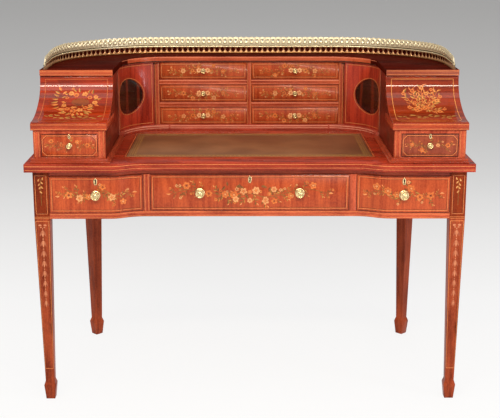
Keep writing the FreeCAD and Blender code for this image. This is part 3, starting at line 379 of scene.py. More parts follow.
# %% Inlay veneers
INLAY_COLOURS = {
    "string": ("boxwood_string", (228, 142, 84), (206, 116, 64)),
    "lid_string": ("orange_string", (212, 116, 62), (190, 92, 46)),
    "base_string": ("pale_string", (244, 178, 148), (226, 150, 120)),
    "rail_string": ("pink_string", (238, 148, 112), (220, 120, 84)),
    "gold": ("golden_veneer", (234, 158, 84), (206, 124, 60)),
    "pale": ("pale_veneer", (250, 192, 138), (232, 162, 108)),
    "cream": ("cream_veneer", (228, 164, 108), (206, 130, 80)),
    "orange": ("orange_veneer", (224, 128, 62), (196, 96, 42)),
    "leaf": ("leaf_veneer", (146, 112, 50), (112, 76, 34)),
    "pale_leaf": ("pale_leaf_veneer", (216, 156, 78), (180, 118, 54)),
    "shadow": ("scorched_veneer", (150, 68, 34), (112, 44, 22)),
    "shaded": ("shaded_veneer", (158, 82, 44), (120, 56, 30)),
    "husk": ("brown_veneer", (184, 104, 70), (156, 80, 52)),
    "bell": ("pink_veneer", (212, 138, 98), (184, 106, 72)),
    # The ebony line is a real dark string in most places, and painted shade in the gaps round the
    # drawers and under the shelf.
    "ebony": ("ebony_and_shade_line", (52, 18, 12), (30, 10, 8)),
    "gilt": ("gilt_line", (182, 138, 74), (150, 108, 54)),
}
INLAYS = {key: finish_wood(name, "x", pale, dark, 0.35, 0.3, 0.25, 0.15, 60.0)
          for key, (name, pale, dark) in INLAY_COLOURS.items()}
INLAY_ORDER = list(INLAYS)

# %% [markdown]
# The finished solids come with sharp arrises. A weld joins their loose triangles, a small bevel
# rounds each arris as a plane and wax would, and smooth shading takes the facets off the curves.

# %% Dress the solids
ARRIS, FINE_ARRIS = 0.0012, 0.0004
ARRIS_ANGLE = math.radians(38)


def dress(name, material):
    """A solid from the frame with its finish and its arrises eased."""
    solid = nodes[name]
    solid.data.materials.clear()
    solid.data.materials.append(material)
    for face in solid.data.polygons:
        face.material_index = 0
        face.use_smooth = True
    solid.modifiers.new("weld", "WELD").merge_threshold = 0.00001
    bevel = solid.modifiers.new("arris", "BEVEL")
    bevel.width = FINE_ARRIS if "drawer" in name or "hinge" in name else ARRIS
    bevel.segments = 2
    bevel.limit_method = "ANGLE"
    bevel.angle_limit = ARRIS_ANGLE
    bevel.harden_normals = True


def split_finish(name, finish, chosen):
    """Gives another finish to the faces of a dressed solid that the test picks."""
    solid = nodes[name].data
    solid.materials.append(finishes[finish])
    picked = [face for face in solid.polygons if chosen(face.normal, face.center)]
    for face in picked:
        face.material_index = len(solid.materials) - 1
    print(name, len(picked), "of", len(solid.polygons), "faces in", finish)


PAIRS = {
    "leg_front": "leg_wood", "leg_back": "leg_wood", "apron": "upright_wood",
    "cupboard_door": "door_wood", "door_oval": "striped", "door_pivots": "mellow_brass",
    "nest_drawer_lower": "drawer_veneer", "nest_drawer_middle": "drawer_veneer",
    "nest_drawer_upper": "drawer_veneer",
}
DRESSED = {
    "apron_back": "upright_wood", "frieze_lower_rail": "rail_wood",
    "frieze_upper_rail": "ledge_wood", "frieze_dividers": "upright_wood",
    "frieze_bearers": "lining_wood", "table_top": "top_wood", "writing_leather": "leather",
    "case_back": "upright_wood", "shelf_board": "shelf_shade_wood", "nest_base": "base_wood",
    "nest_uprights": "upright_wood", "nest_rails": "rail_wood", "wing_flanks": "flank_shade_wood",
    "wing_frames": "upright_wood", "wing_ledges": "ledge_wood", "wing_plinths": "ledge_wood",
    "wing_inner_boards": "lining_wood", "lid_hinges": "mellow_brass",
    "lid_left": "lid_wood", "lid_right": "lid_wood_right_shaded",
    "wing_drawer_left": "drawer_veneer", "wing_drawer_right": "wing_veneer_right_shaded",
}
for word, side in SIDES:
    DRESSED.update({f"{name}_{word}": finish for name, finish in PAIRS.items()})
for word in ("left", "centre", "right"):
    DRESSED[f"frieze_drawer_{word}_front"] = "drawer_veneer"
    DRESSED[f"frieze_drawer_{word}_box"] = "lining_wood"
for name, finish in DRESSED.items():
    dress(name, finishes[finish])
print("dressed", len(DRESSED), "solids")

# %% [markdown]
# Some solids show two woods. The top and the shelf have a mould of brighter wood along their
# edges, the front legs a darker veneer beside the drawers, and the wings a redder outside than
# their inner flanks, whose darker wood is painted shade. The returns of the shelf's edge beside
# the cupboards go back to the shelf's near-black wood as painted shade.

# %% Second woods
SHELF_TOP, FRIEZE_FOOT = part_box("gallery_rails")[0].z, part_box("frieze_lower_rail")[0].z
WING_OUTSIDE, RIGHT_WING, RETURNS_END = 0.6, 0.42, 0.5


def shelf_edge(normal, centre):
    return abs(normal.z) < 0.5 and centre.z < SHELF_TOP


split_finish("table_top", "top_edge_wood", lambda normal, centre: abs(normal.z) < 0.5)
for word, side in SIDES:
    split_finish(f"leg_front_{word}", "stile_wood",
                 lambda normal, centre: centre.z > FRIEZE_FOOT)
split_finish("wing_flanks", "upright_wood", lambda normal, centre:
             abs(centre.x) > WING_OUTSIDE and normal.x * centre.x > 0.5)
split_finish("shelf_board", "edge_wood", shelf_edge)
# The right-hand part of the shelf's edge takes its duller copy: painted shade and a painted haze of
# reflection.
split_finish("shelf_board", "edge_wood_right_hazed", lambda normal, centre:
             shelf_edge(normal, centre) and centre.x > RIGHT_WING)
# The returns beside the cupboards take the near-black wood as painted shade.
split_finish("shelf_board", "shelf_shade_wood", lambda normal, centre:
             shelf_edge(normal, centre) and abs(normal.x) > 0.86 and abs(centre.x) < RETURNS_END)

# %% [markdown]
# A piece that this script adds is a mesh in the desk's own frame. It rides on the body that it
# is fixed to, and may stand for plainer solids.

# %% Adding a piece
def add_piece(name, mesh, body, replaced=()):
    piece = add_object(name, mesh)
    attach(piece, body)
    if replaced:
        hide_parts(*replaced)


def mesh_of(build, name, materials, smooth=True):
    """The bmesh as mesh data with outward faces."""
    bmesh.ops.remove_doubles(build, verts=build.verts, dist=0.000001)
    bmesh.ops.recalc_face_normals(build, faces=build.faces)
    data = bpy.data.meshes.new(name)
    build.to_mesh(data)
    build.free()
    for material in materials:
        data.materials.append(material)
    for face in data.polygons:
        face.use_smooth = smooth
    return data


def oval(u, v, wide, high, count):
    """Points round an oval of these two radii with its middle at (u, v)."""
    turns = [2 * math.pi * i / count for i in range(count)]
    return [(u + wide * math.cos(turn), v + high * math.sin(turn)) for turn in turns]


def bridge(build, near, far, closed=True):
    """Faces between two rows of points, or between a ring and one point."""
    made = []
    for i in range(len(near) if closed else len(near) - 1):
        j = (i + 1) % len(near)
        rest = (far[j], far[i]) if len(far) > 1 else (far[0],)
        made.append(build.faces.new((near[i], near[j], *rest)))
    return made


# %% [markdown]
# Knobs are turned, so a knob is a profile spun round its axis. The profile has what a lathe
# leaves on a good brass knob: a beaded rose, a slender neck, and a dished head with a boss. A
# keyhole plate is a tall oval with a keyhole sunk in it, a round eye over a straight slot, its
# shallow floor near-black as painted shade for the hole.

# %% Turned brass
LATHE_STEPS, PLATE_STEPS = 40, 32
KNOB_PROFILE = (
    (0.44, 0.0), (0.46, 0.05), (0.44, 0.10), (0.38, 0.12), (0.34, 0.17), (0.30, 0.15),
    (0.22, 0.18), (0.18, 0.30), (0.19, 0.42), (0.28, 0.52), (0.38, 0.60), (0.43, 0.70),
    (0.44, 0.80), (0.43, 0.88), (0.40, 0.94), (0.36, 0.95), (0.33, 0.91), (0.31, 0.84),
    (0.25, 0.82), (0.19, 0.84), (0.15, 0.90), (0.10, 0.95), (0.05, 0.97), (0.0, 0.98),
)
LARGE, SMALL = (0.031, 0.020, 0.014), (0.018, 0.015, 0.010)  # knob's width and reach, plate's width
PLATE_THICK, PLATE_DROP, SUNK = 0.001, 0.0055, 0.0002
PLATE_WIDE, PLATE_HIGH, EYE, EYE_UP, SLOT_WIDE, SLOT_DOWN = 0.38, 0.80, 0.17, 0.30, 0.10, 0.48


def turn_profile(build, centre, width, reach):
    """Spins the profile of radius and reach, as shares of width and reach, round -Y."""
    rings = []
    for radius, out in KNOB_PROFILE:
        steps = LATHE_STEPS if radius else 1
        rings.append([build.verts.new((x, centre.y - out * reach, z)) for x, z in oval(
            centre.x, centre.z, radius * width, radius * width, steps)])
    build.faces.new(rings[0])
    for low, high in zip(rings, rings[1:]):
        bridge(build, low, high)


def keyhole_plate(build, centre, width):
    """The slot takes the place of the lowest part of the eye."""
    outer = oval(0, 0, width * PLATE_WIDE, width * PLATE_HIGH, PLATE_STEPS)
    inner = []
    for x, z in oval(0, 0, width * EYE, width * EYE, PLATE_STEPS):
        if z < -0.6 * EYE * width:
            inner.append((width * (SLOT_WIDE if x > 0 else -SLOT_WIDE), -width * SLOT_DOWN))
        else:
            inner.append((x, z + width * EYE_UP))
    loops = [[build.verts.new((centre.x + x, centre.y - out, centre.z + z)) for x, z in loop]
             for loop, out in ((outer, 0.0), (outer, PLATE_THICK), (inner, PLATE_THICK),
                               (inner, SUNK))]
    for near, far in zip(loops, loops[1:]):
        bridge(build, near, far)
    build.faces.new(loops[0])
    # The keyhole's shallow floor takes the near-black keyhole material, painted shade for the hole.
    build.faces.new(loops[-1]).material_index = 1


def fittings(node, body, sizes, has_keyhole=True):
    """The brass of one drawer, its knobs and its keyhole plate, in place of its plain solids."""
    knob_width, knob_reach, plate_width = sizes
    low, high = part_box(node)
    places = [(low.x + high.x) / 2]
    if high.x - low.x > 2 * knob_width:
        places = [low.x + knob_width / 2, high.x - knob_width / 2]
    build = bmesh.new()
    for x in places:
        turn_profile(build, Vector((x, high.y, low.z + knob_width / 2)), knob_width, knob_reach)
    if has_keyhole:
        middle = sum(places) / len(places)
        keyhole_plate(build, Vector((middle, high.y, high.z - PLATE_DROP)), plate_width)
    data = mesh_of(build, node + "_brass", [finishes["knob_brass"], finishes["keyhole_dark"]])
    add_piece(node + "_brass", data, body, [node])


for word in ("left", "centre", "right"):
    fittings(f"frieze_drawer_{word}_fittings", f"frieze_drawer_{word}", LARGE)
for word, side in SIDES:
    fittings(f"wing_drawer_{word}_fittings", f"wing_drawer_{word}", SMALL)
    for row in ROWS:
        fittings(f"nest_drawer_{row}_{word}_knob", f"nest_drawer_{row}_{word}", SMALL, False)
print("knobs turned")

# %% [markdown]
# The pierced gallery repeats one pattern all round the shelf: turned bobbins below, with round
# gaps between them, and a pierced band above. Geometry Nodes set each of them out along one
# line, and draw the rails by sweeping a small profile along the same line.

# %% Gallery line
BAND_LOW_CORNER, BAND_HIGH_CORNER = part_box("gallery_band")
RAIL_HALF, RAIL_REAR = BAND_HIGH_CORNER.x - 0.001, BAND_HIGH_CORNER.y - 0.001
RAIL_START, RAIL_RADIUS = BAND_LOW_CORNER.y, 0.348
STRAIGHT_STEPS, BEND_STEPS = 12, 34


def gallery_line():
    """Points along the gallery from the left front end to the right one."""
    turn_y, turn_x = RAIL_REAR - RAIL_RADIUS, RAIL_HALF - RAIL_RADIUS
    half = [(RAIL_HALF, RAIL_START + (turn_y - RAIL_START) * i / STRAIGHT_STEPS)
            for i in range(STRAIGHT_STEPS)]
    half += oval(turn_x, turn_y, RAIL_RADIUS, RAIL_RADIUS, 4 * BEND_STEPS)[:BEND_STEPS + 1]
    half += [(turn_x * (1 - i / STRAIGHT_STEPS), RAIL_REAR) for i in range(1, STRAIGHT_STEPS + 1)]
    return [(-x, y) for x, y in half] + half[-2::-1]


line_points = gallery_line()
line_mesh = bpy.data.meshes.new("gallery_line")
line_mesh.from_pydata([(x, y, SHELF_TOP) for x, y in line_points],
                      [(i, i + 1) for i in range(len(line_points) - 1)], [])
print("gallery line:", len(line_points), "points")

# %% [markdown]
# Two small shapes repeat along the line, each kept to a few dozen faces. A flat turned bobbin has
# hollow sides, so that two neighbours leave a round gap. One length of the band is a thin plate
# with a raised oval link on it, a hole in the link, and a scallop on top.

# %% Bobbin and length of band
BOBBIN_COUNT, BOBBIN_SIDES, BOBBIN_FLAT = 104, 8, 0.36
PITCH = sum(math.dist(a, b) for a, b in zip(line_points, line_points[1:])) / (BOBBIN_COUNT - 1)
GAP_RADIUS, GAP_MIDDLE, BOBBIN_FOOT, BOBBIN_HEAD = 0.0068, 0.0124, 0.0016, 0.0215
BAND_LOW, BAND_HOLE, BAND_HIGH, SCALLOP = 0.0276, 0.0425, 0.0552, 0.0034
BAND_HALF_THICK, RIM_RISE = 0.0007, 1.15
BAND_LOOPS = ((0.0, -1, 0.0), (0.0080, -1, 0.0), (0.0060, -1, 0.0020), (0.0030, -1, 0.0012),
              (0.0019, -1, 0.0), (0.0019, 1, 0.0), (0.0, 1, 0.0))


def bobbin():
    build = bmesh.new()
    turns = [math.radians(20 * step) for step in range(-4, 5)]
    profile = [(PITCH / 2 - GAP_RADIUS * math.cos(turn), GAP_MIDDLE + GAP_RADIUS * math.sin(turn))
               for turn in turns]
    profile = [(profile[0][0], BOBBIN_FOOT), *profile, (profile[-1][0], BOBBIN_HEAD)]
    rings = [[build.verts.new((x, y, z)) for x, y in oval(0, 0, r, BOBBIN_FLAT * r, BOBBIN_SIDES)]
             for r, z in profile]
    build.faces.new(rings[0])
    build.faces.new(rings[-1])
    for low, high in zip(rings, rings[1:]):
        bridge(build, low, high)
    return build


def band_length():
    """A loop of radius 0 runs along the plate's outline, the others round its hole."""
    build = bmesh.new()
    half = PITCH / 2
    outline = [(half * k / 2, BAND_LOW) for k in (-2, 0, 2)] + [(half, BAND_HOLE)]
    outline += [(half * k / 4, BAND_HIGH - SCALLOP * (k / 4) ** 2) for k in (4, 2, 0, -2, -4)]
    outline += [(-half, BAND_HOLE)]
    turns = [math.atan2(v - BAND_HOLE, u) for u, v in outline]
    loops = []
    for radius, hand, proud in BAND_LOOPS:
        depth = hand * BAND_HALF_THICK - proud
        loops.append([build.verts.new(
            (radius * math.cos(turn), depth, BAND_HOLE + RIM_RISE * radius * math.sin(turn))
            if radius else (u, depth, v)) for (u, v), turn in zip(outline, turns)])
    for low, high in zip(loops, loops[1:]):
        bridge(build, low, high)
    for i in range(len(outline)):
        j = (i + 1) % len(outline)
        if outline[i][0] != outline[j][0]:
            build.faces.new((loops[-1][i], loops[-1][j], loops[0][j], loops[0][i]))
    return build


# %% [markdown]
# One tree serves bobbins and band: it cuts the line into equal steps, puts a copy of the given
# shape on each, and turns it along the line. The last nodes let the gallery sweep down at its
# two front ends, as it does on the desk.

# %% Setting out tree
SWEEPS = ((0.040, 0.36, 2.0), (0.270, 0.30, 1.0))  # reach, share of the height, power
STRIP_ROUND, TIP_ROOM, BRASS_CREASE = 0.0006, 0.004, math.radians(50)


def geometry_tree(name, inputs):
    tree = bpy.data.node_groups.new(name, "GeometryNodeTree")
    for title, kind in (("Geometry", "Geometry"), *inputs):
        tree.interface.new_socket(title, in_out="INPUT", socket_type="NodeSocket" + kind)
    tree.interface.new_socket("Geometry", in_out="OUTPUT", socket_type="NodeSocketGeometry")
    return tree, add_node(tree, "NodeGroupInput").outputs, add_node(tree, "NodeGroupOutput")


def finish_tree(tree, geometry, metal, output):
    """Lowers the shape towards the shelf near the line's front ends, and gives it its metal."""
    position = add_node(tree, "GeometryNodeInputPosition").outputs[0]
    parts = add_node(tree, "ShaderNodeSeparateXYZ", {0: position}).outputs
    share = 1.0
    for reach, drop, power in SWEEPS:
        near = remap(tree, parts[1], RAIL_START - TIP_ROOM, RAIL_START + reach, 1.0, 0.0)
        fall = calculate(tree, "MULTIPLY", calculate(tree, "POWER", near, power), drop)
        share = calculate(tree, "SUBTRACT", share, fall)
    above = calculate(tree, "SUBTRACT", parts[2], SHELF_TOP)
    lowered = calculate(tree, "ADD", calculate(tree, "MULTIPLY", above, share), SHELF_TOP)
    moved = add_node(tree, "ShaderNodeCombineXYZ", {0: parts[0], 1: parts[1], 2: lowered})
    swept = add_node(tree, "GeometryNodeSetPosition", {
        "Geometry": geometry, "Position": moved.outputs[0]})
    made = add_node(tree, "GeometryNodeSetMaterial", {
        "Geometry": swept.outputs[0], "Material": metal})
    tree.links.new(made.outputs[0], output.inputs[0])


repeat, given, result = geometry_tree("set out along a line", [
    ("Shape", "Object"), ("Count", "Int"), ("Metal", "Material")])
curve = add_node(repeat, "GeometryNodeMeshToCurve", {"Mesh": given[0]}).outputs[0]
even = add_node(repeat, "GeometryNodeResampleCurve", {"Curve": curve, "Count": given[2]})
direction = add_node(repeat, "GeometryNodeInputTangent").outputs[0]
facing = add_node(repeat, "FunctionNodeAlignRotationToVector", {"Vector": direction}, axis="X")
shape = add_node(repeat, "GeometryNodeObjectInfo", {"Object": given[1]}).outputs["Geometry"]
placed = add_node(repeat, "GeometryNodeInstanceOnPoints", {
    "Points": even.outputs[0], "Instance": shape, "Rotation": facing.outputs[0]}).outputs[0]
real = add_node(repeat, "GeometryNodeRealizeInstances", {0: placed}).outputs[0]
finish_tree(repeat, real, given[3], result)

rails, given, result = geometry_tree("rails along a line", [
    ("Wide", "Float"), ("High", "Float"), ("Lift", "Float"), ("Metal", "Material")])
curve = add_node(rails, "GeometryNodeMeshToCurve", {"Mesh": given[0]}).outputs[0]
section = add_node(rails, "GeometryNodeCurvePrimitiveQuadrilateral", {
    "Width": given[1], "Height": given[2]}).outputs[0]
rounded = add_node(rails, "GeometryNodeFilletCurve", {"Curve": section, "Radius": STRIP_ROUND})
strip = add_node(rails, "GeometryNodeCurveToMesh", {
    "Curve": curve, "Profile Curve": rounded.outputs[0], "Fill Caps": True}).outputs[0]
rise = add_node(rails, "ShaderNodeCombineXYZ", {2: given[3]}).outputs[0]
lifted = add_node(rails, "GeometryNodeSetPosition", {"Geometry": strip, "Offset": rise})
finish_tree(rails, lifted.outputs[0], given[4], result)


def run_tree(name, tree, values):
    """The plain mesh that a tree makes from the gallery line."""
    carrier = add_object(name, line_mesh.copy())
    modifier = carrier.modifiers.new("tree", "NODES")
    modifier.node_group = tree
    names = {item.name: item.identifier for item in tree.interface.items_tree
             if item.in_out == "INPUT"}
    for title, value in values.items():
        modifier[names[title]] = value
    graph = bpy.context.evaluated_depsgraph_get()
    data = bpy.data.meshes.new_from_object(carrier.evaluated_get(graph), depsgraph=graph)
    bpy.data.objects.remove(carrier)
    return data


def repeated(name, build, metal):
    """A small shape's copies all along the line."""
    shape = add_object(name + "_shape", mesh_of(build, name, [finishes[metal]]))
    data = run_tree(name, repeat, {
        "Shape": shape, "Count": BOBBIN_COUNT, "Metal": finishes[metal]})
    bpy.data.objects.remove(shape)
    return data


def rail_strip(wide, high, lift, metal):
    return run_tree("strip", rails, {
        "Wide": wide, "High": high, "Lift": lift, "Metal": finishes[metal]})


def add_brass(name, meshes, replaced):
    """One piece from several meshes, each with the metal that its tree gave it."""
    build, metals = bmesh.new(), []
    for data in meshes:
        metal, first = data.materials[data.polygons[0].material_index], len(build.faces)
        if metal not in metals:
            metals.append(metal)
        build.from_mesh(data)
        build.faces.ensure_lookup_table()
        for face in build.faces[first:]:
            face.material_index = metals.index(metal)
    made = mesh_of(build, name, metals)
    made.set_sharp_from_angle(angle=BRASS_CREASE)
    add_piece(name, made, "carcase", [replaced])


# %% Gallery pieces
add_brass("gallery_bobbins", [repeated("bobbins", bobbin(), "bobbin_brass")], "gallery_posts")
add_brass("gallery_lower_rails", [
    rail_strip(0.0110, 0.0040, 0.0020, "brown_brass"),
    rail_strip(0.0030, 0.0040, 0.0226, "bright_brass"),
    # The recessed strip between the beads is darkened both as patina and as painted shade under the
    # upper bead.
    rail_strip(0.0014, 0.0044, 0.0262, "dark_brass")], "gallery_rails")
add_brass("gallery_fret", [
    repeated("band", band_length(), "bright_brass"),
    rail_strip(0.0024, 0.0016, 0.0520, "bright_brass")], "gallery_band")
print("gallery set out")

# %% [markdown]
# Inlay follows the face it is let into, and the faces here are flat, bowed, hollow and tapered.
# Each face is a function from a flat drawing, in metres across and up, to a place on the desk,
# so that one drawing of a leaf serves them all.

# %% Faces to inlay
BOW_OUTER, BOW_INNER, BOW_DEEP = 0.417, 0.309, 0.030
BOW_LONG = BOW_OUTER - BOW_INNER
BOW_ARC = (BOW_LONG ** 2 + BOW_DEEP ** 2) / (4 * BOW_DEEP)


def bow_set(x, offset):
    """How far back the double curved front lies at x, for a line set in by offset."""
    x = abs(x)
    share = (BOW_ARC - offset) / (2 * BOW_ARC)
    if x >= BOW_OUTER:
        return offset
    if x <= BOW_INNER:
        return BOW_DEEP + offset
    if x > BOW_OUTER - BOW_LONG * share:
        return BOW_ARC - math.sqrt((BOW_ARC - offset) ** 2 - (BOW_OUTER - x) ** 2)
    return BOW_DEEP - BOW_ARC + math.sqrt((BOW_ARC + offset) ** 2 - (x - BOW_INNER) ** 2)


def flat_front(y):
    return lambda u, v, lift: (u, y - lift, v)


def bowed_front(offset):
    return lambda u, v, lift: (u, set_back(bow_set(u, offset)) - lift, v)


def level(z):
    return lambda u, v, lift: (u, v, z + lift)


def flank(x, side):
    """A face that looks sideways; u runs backwards from the front edge of the top."""
    return lambda u, v, lift: (x + side * lift, set_back(u), v)


LEG_TOP_HALF, LEG_ANKLE_HALF = 0.023, 0.0135
ANKLE_HIGH, LEG_SHOULDER = 0.060, 0.577
LEG_X, LEG_SET = 0.616, 0.044


def leg_front(side):
    """A front leg's face; u is a share of its half width, which changes with height."""
    def place(u, v, lift):
        share = min(1.0, max(0.0, (v - ANKLE_HIGH) / (LEG_SHOULDER - ANKLE_HIGH)))
        half = LEG_ANKLE_HALF + (LEG_TOP_HALF - LEG_ANKLE_HALF) * share
        return side * LEG_X + u * half, set_back(LEG_SET) - half - lift, v
    return place


COVE_X, COVE_SET, COVE_RADIUS = 0.268, 0.434, 0.156


def cove(side, radius=COVE_RADIUS):
    """The hollow cupboard door, or a face round it; u is the way along from the wing."""
    def place(u, v, lift):
        angle = u / radius
        reach = radius - lift
        return (side * (COVE_X + reach * math.cos(angle)),
                set_back(COVE_SET + reach * math.sin(angle)), v)
    return place


LID_SET, LID_TOP_SET, LID_TIGHT = 0.038, 0.228, 0.072
LID_FOOT_Z, LID_AXIS_Z, ARC_STEPS = 0.8635, 0.9697, 32
LID_DEEP, LID_HIGH = LID_TOP_SET - LID_SET, LID_AXIS_Z - LID_FOOT_Z
LID_BROAD = (((LID_DEEP - LID_TIGHT) ** 2 + LID_HIGH ** 2 - LID_TIGHT ** 2)
             / (2 * (LID_HIGH - LID_TIGHT)))


def lid_line():
    """The lid's hollow face as (set, z) points from its foot to its top, in two arcs."""
    joint = math.atan2(LID_DEEP - LID_TIGHT, LID_BROAD - LID_HIGH)
    broad = [joint * i / ARC_STEPS for i in range(ARC_STEPS + 1)]
    tight = [joint + (math.pi / 2 - joint) * i / ARC_STEPS for i in range(1, ARC_STEPS + 1)]
    return [(LID_SET + LID_BROAD * math.sin(turn), LID_FOOT_Z + LID_BROAD * (1 - math.cos(turn)))
            for turn in broad] + [
        (LID_TOP_SET - LID_TIGHT + LID_TIGHT * math.sin(turn),
         LID_AXIS_Z - LID_TIGHT * math.cos(turn)) for turn in tight]


LID_POINTS = lid_line()
LID_LENGTHS = [0.0]
for before, after in zip(LID_POINTS, LID_POINTS[1:]):
    LID_LENGTHS.append(LID_LENGTHS[-1] + math.dist(before, after))
LID_LONG = LID_LENGTHS[-1]


def lid_face(u, v, lift):
    """The hollow lid; v is the way up its curve from the foot."""
    v = min(max(v, 0.0), LID_LONG - 0.000001)
    index = next(i for i in range(len(LID_LENGTHS) - 1) if LID_LENGTHS[i + 1] > v)
    share = (v - LID_LENGTHS[index]) / (LID_LENGTHS[index + 1] - LID_LENGTHS[index])
    (set0, z0), (set1, z1) = LID_POINTS[index], LID_POINTS[index + 1]
    run = math.dist((set0, z0), (set1, z1))
    return (u, set_back(set0 + (set1 - set0) * share - (z1 - z0) / run * lift),
            z0 + (z1 - z0) * share + (set1 - set0) / run * lift)


print("lid is", round(LID_LONG, 3), "up its curve, broad arc", round(LID_BROAD, 3))

# %% [markdown]
# A sheet of inlay collects flat shapes, each in one veneer, and presses them on to a face. Every
# shape gets a little thickness, most of it sunk in the ground timber, so it is a solid chip.

# %% Inlay sheet
CHIP_THICK, CHIP_PROUD, LAYER = 0.0006, 0.00022, 0.00004
CHIP_TURNS, CHIP_STEP = 12, 0.000003


class Inlay:
    """Chips of veneer on their way to one piece."""

    def __init__(self, name, body, face=None):
        self.name, self.body, self.face = name, body, face
        self.build, self.count = bmesh.new(), 0

    def chip(self, outline, veneer, layer=0):
        """A closed flat shape, as a prism that stands a hair proud of the face."""
        self.count += 1
        lift = CHIP_PROUD + layer * LAYER + self.count % CHIP_TURNS * CHIP_STEP
        top = [self.build.verts.new(self.face(u, v, lift)) for u, v in outline]
        foot = [self.build.verts.new(self.face(u, v, lift - CHIP_THICK)) for u, v in outline]
        made = [self.build.faces.new(top), self.build.faces.new(foot[::-1])]
        for face in made + bridge(self.build, foot, top):
            face.material_index = INLAY_ORDER.index(veneer)

    def line(self, points, width, veneer, closed=False, layer=0):
        """A string of even width, or of a width that tapers between two numbers."""
        count = len(points)
        left, right = [], []
        for i, (u, v) in enumerate(points):
            before = points[i - 1] if closed or i else points[i]
            after = points[(i + 1) % count] if closed or i < count - 1 else points[i]
            du, dv = after[0] - before[0], after[1] - before[1]
            run = math.hypot(du, dv) or 1.0
            wide = width if isinstance(width, float) else (
                width[0] + (width[1] - width[0]) * i / (count - 1))
            across = (-dv / run * wide / 2, du / run * wide / 2)
            left.append((u + across[0], v + across[1]))
            right.append((u - across[0], v - across[1]))
        for i in range(count if closed else count - 1):
            j = (i + 1) % count
            self.chip([left[i], right[i], right[j], left[j]], veneer, layer)

    def frame(self, low, high, inset, width, veneer, clip=0.0):
        """A closed frame set in from two corners, its own corners clipped off by clip."""
        u0, v0, u1, v1 = low[0] + inset, low[1] + inset, high[0] - inset, high[1] - inset
        corners = [(u0, v0), (u1, v0), (u1, v1), (u0, v1)]
        if clip:
            corners = [(u0 + clip, v0), (u1 - clip, v0), (u1, v0 + clip), (u1, v1 - clip),
                       (u1 - clip, v1), (u0 + clip, v1), (u0, v1 - clip), (u0, v0 + clip)]
        points = []
        for i, corner in enumerate(corners):
            points += divided(corner, corners[(i + 1) % len(corners)])
        self.line(points, width, veneer, closed=True)

    def finish(self, slot="mahogany"):
        data = mesh_of(self.build, self.name, [INLAYS[key] for key in INLAY_ORDER], smooth=False)
        print(self.name, len(data.polygons), "faces")
        add_piece(self.name, data, self.body)


def divided(start, end, step=0.012):
    """Points along a straight run, close enough to follow a bowed face."""
    count = max(1, math.ceil(math.dist(start, end) / step))
    return [(start[0] + (end[0] - start[0]) * i / count, start[1] + (end[1] - start[1]) * i / count)
            for i in range(count)]


# %% [markdown]
# Leaves and flowers come from a few strokes, as a marquetry cutter's do: a leaf in two halves,
# one scorched, and a flower of rounded petals round an eye. A spray is a waving stem that
# carries them outwards both ways from the middle.

# %% Leaves, flowers and sprays
LEAF_STEPS, LEAF_SWELL, LEAF_BEND, EYE_SHARE = 6, 0.21, 0.06, 0.26
PETAL, PETAL_FOOT = (0.56, 0.44, 0.36, 9), (0.36, 0.14, 0.07, 5)  # middle, reach, width, points
TWIG_STEPS, TWIG_WIDE, TWIG_FLOWER, TWIG_BUD, BLOOM_CHANCE = 5, (0.035, 0.02), 0.2, 0.34, 0.45
LEAF_LEAN, LEAF_LONG = (0.6, 1.0), (0.34, 0.46)
STEM_STEPS, STEM_WAVE, STEM_TURNS, STEM_CALM, STEM_WIDE = 22, 0.13, 2.1, 0.3, (0.016, 0.008)
SPRIG_LEAN, SPRIG_LONG, SPRIG_SHRINK, GAP_CHANCE = (0.55, 1.05), (0.2, 0.3), 0.35, 0.14
FLOWER_ASIDE, FLOWER_SIZE, END_BUD = (0.04, 0.13), (0.085, 0.115), 0.13
LEAF_PAIRS = (("pale_leaf", "leaf"), ("leaf", "shadow"), ("leaf", "shaded"), ("orange", "leaf"))
GOLDEN_PAIRS = (("gold", "orange"), ("pale_leaf", "leaf"), ("gold", "leaf"), ("orange", "shadow"))
WREATH_PAIRS = (("gold", "orange"), ("orange", "leaf"), ("gold", "leaf"))
BOUQUET_PAIRS = (("gold", "shadow"), ("orange", "shadow"), ("gold", "leaf"))


def turned(u, v, angle, out, aside):
    """The point that lies so far out from (u, v) at this angle, and so far aside."""
    return (u + math.cos(angle) * out - math.sin(angle) * aside,
            v + math.sin(angle) * out + math.cos(angle) * aside)


def leaf(sheet, u, v, angle, length, veneer="pale_leaf", dark="leaf", layer=2):
    """A pointed leaf with its foot at (u, v), in a light and a dark half."""
    def place(step, hand):
        t = step / LEAF_STEPS
        swell = math.sin(math.pi * t ** 0.8) * length * LEAF_SWELL * hand
        bend = math.sin(math.pi * t) * length * LEAF_BEND
        return turned(u, v, angle, t * length, swell + bend)
    for hand, colour in ((1, veneer), (-1, dark)):
        outline = [place(step, hand) for step in range(LEAF_STEPS + 1)]
        outline += [place(step, 0) for step in range(LEAF_STEPS - 1, 0, -1)]
        sheet.chip(outline if hand < 0 else outline[::-1], colour, layer)


def flower(sheet, u, v, radius, petals=6, veneer="cream", eye="orange", turn=0.0, layer=4):
    """Rounded petals, each with a scorched foot, round a small eye."""
    for index in range(petals):
        angle = turn + 2 * math.pi * index / petals
        for (middle, reach, wide, steps), colour, rise in (
                (PETAL, veneer, index % 2), (PETAL_FOOT, "shadow", 2)):
            sheet.chip([turned(u, v, angle, out, aside) for out, aside in oval(
                radius * middle, 0, radius * reach, radius * wide, steps)], colour, layer + rise)
    sheet.chip(oval(u, v, radius * EYE_SHARE, radius * EYE_SHARE, 8), eye, layer + 3)


def bud(sheet, u, v, angle, length):
    leaf(sheet, u, v, angle, length, "cream", "orange", 3)


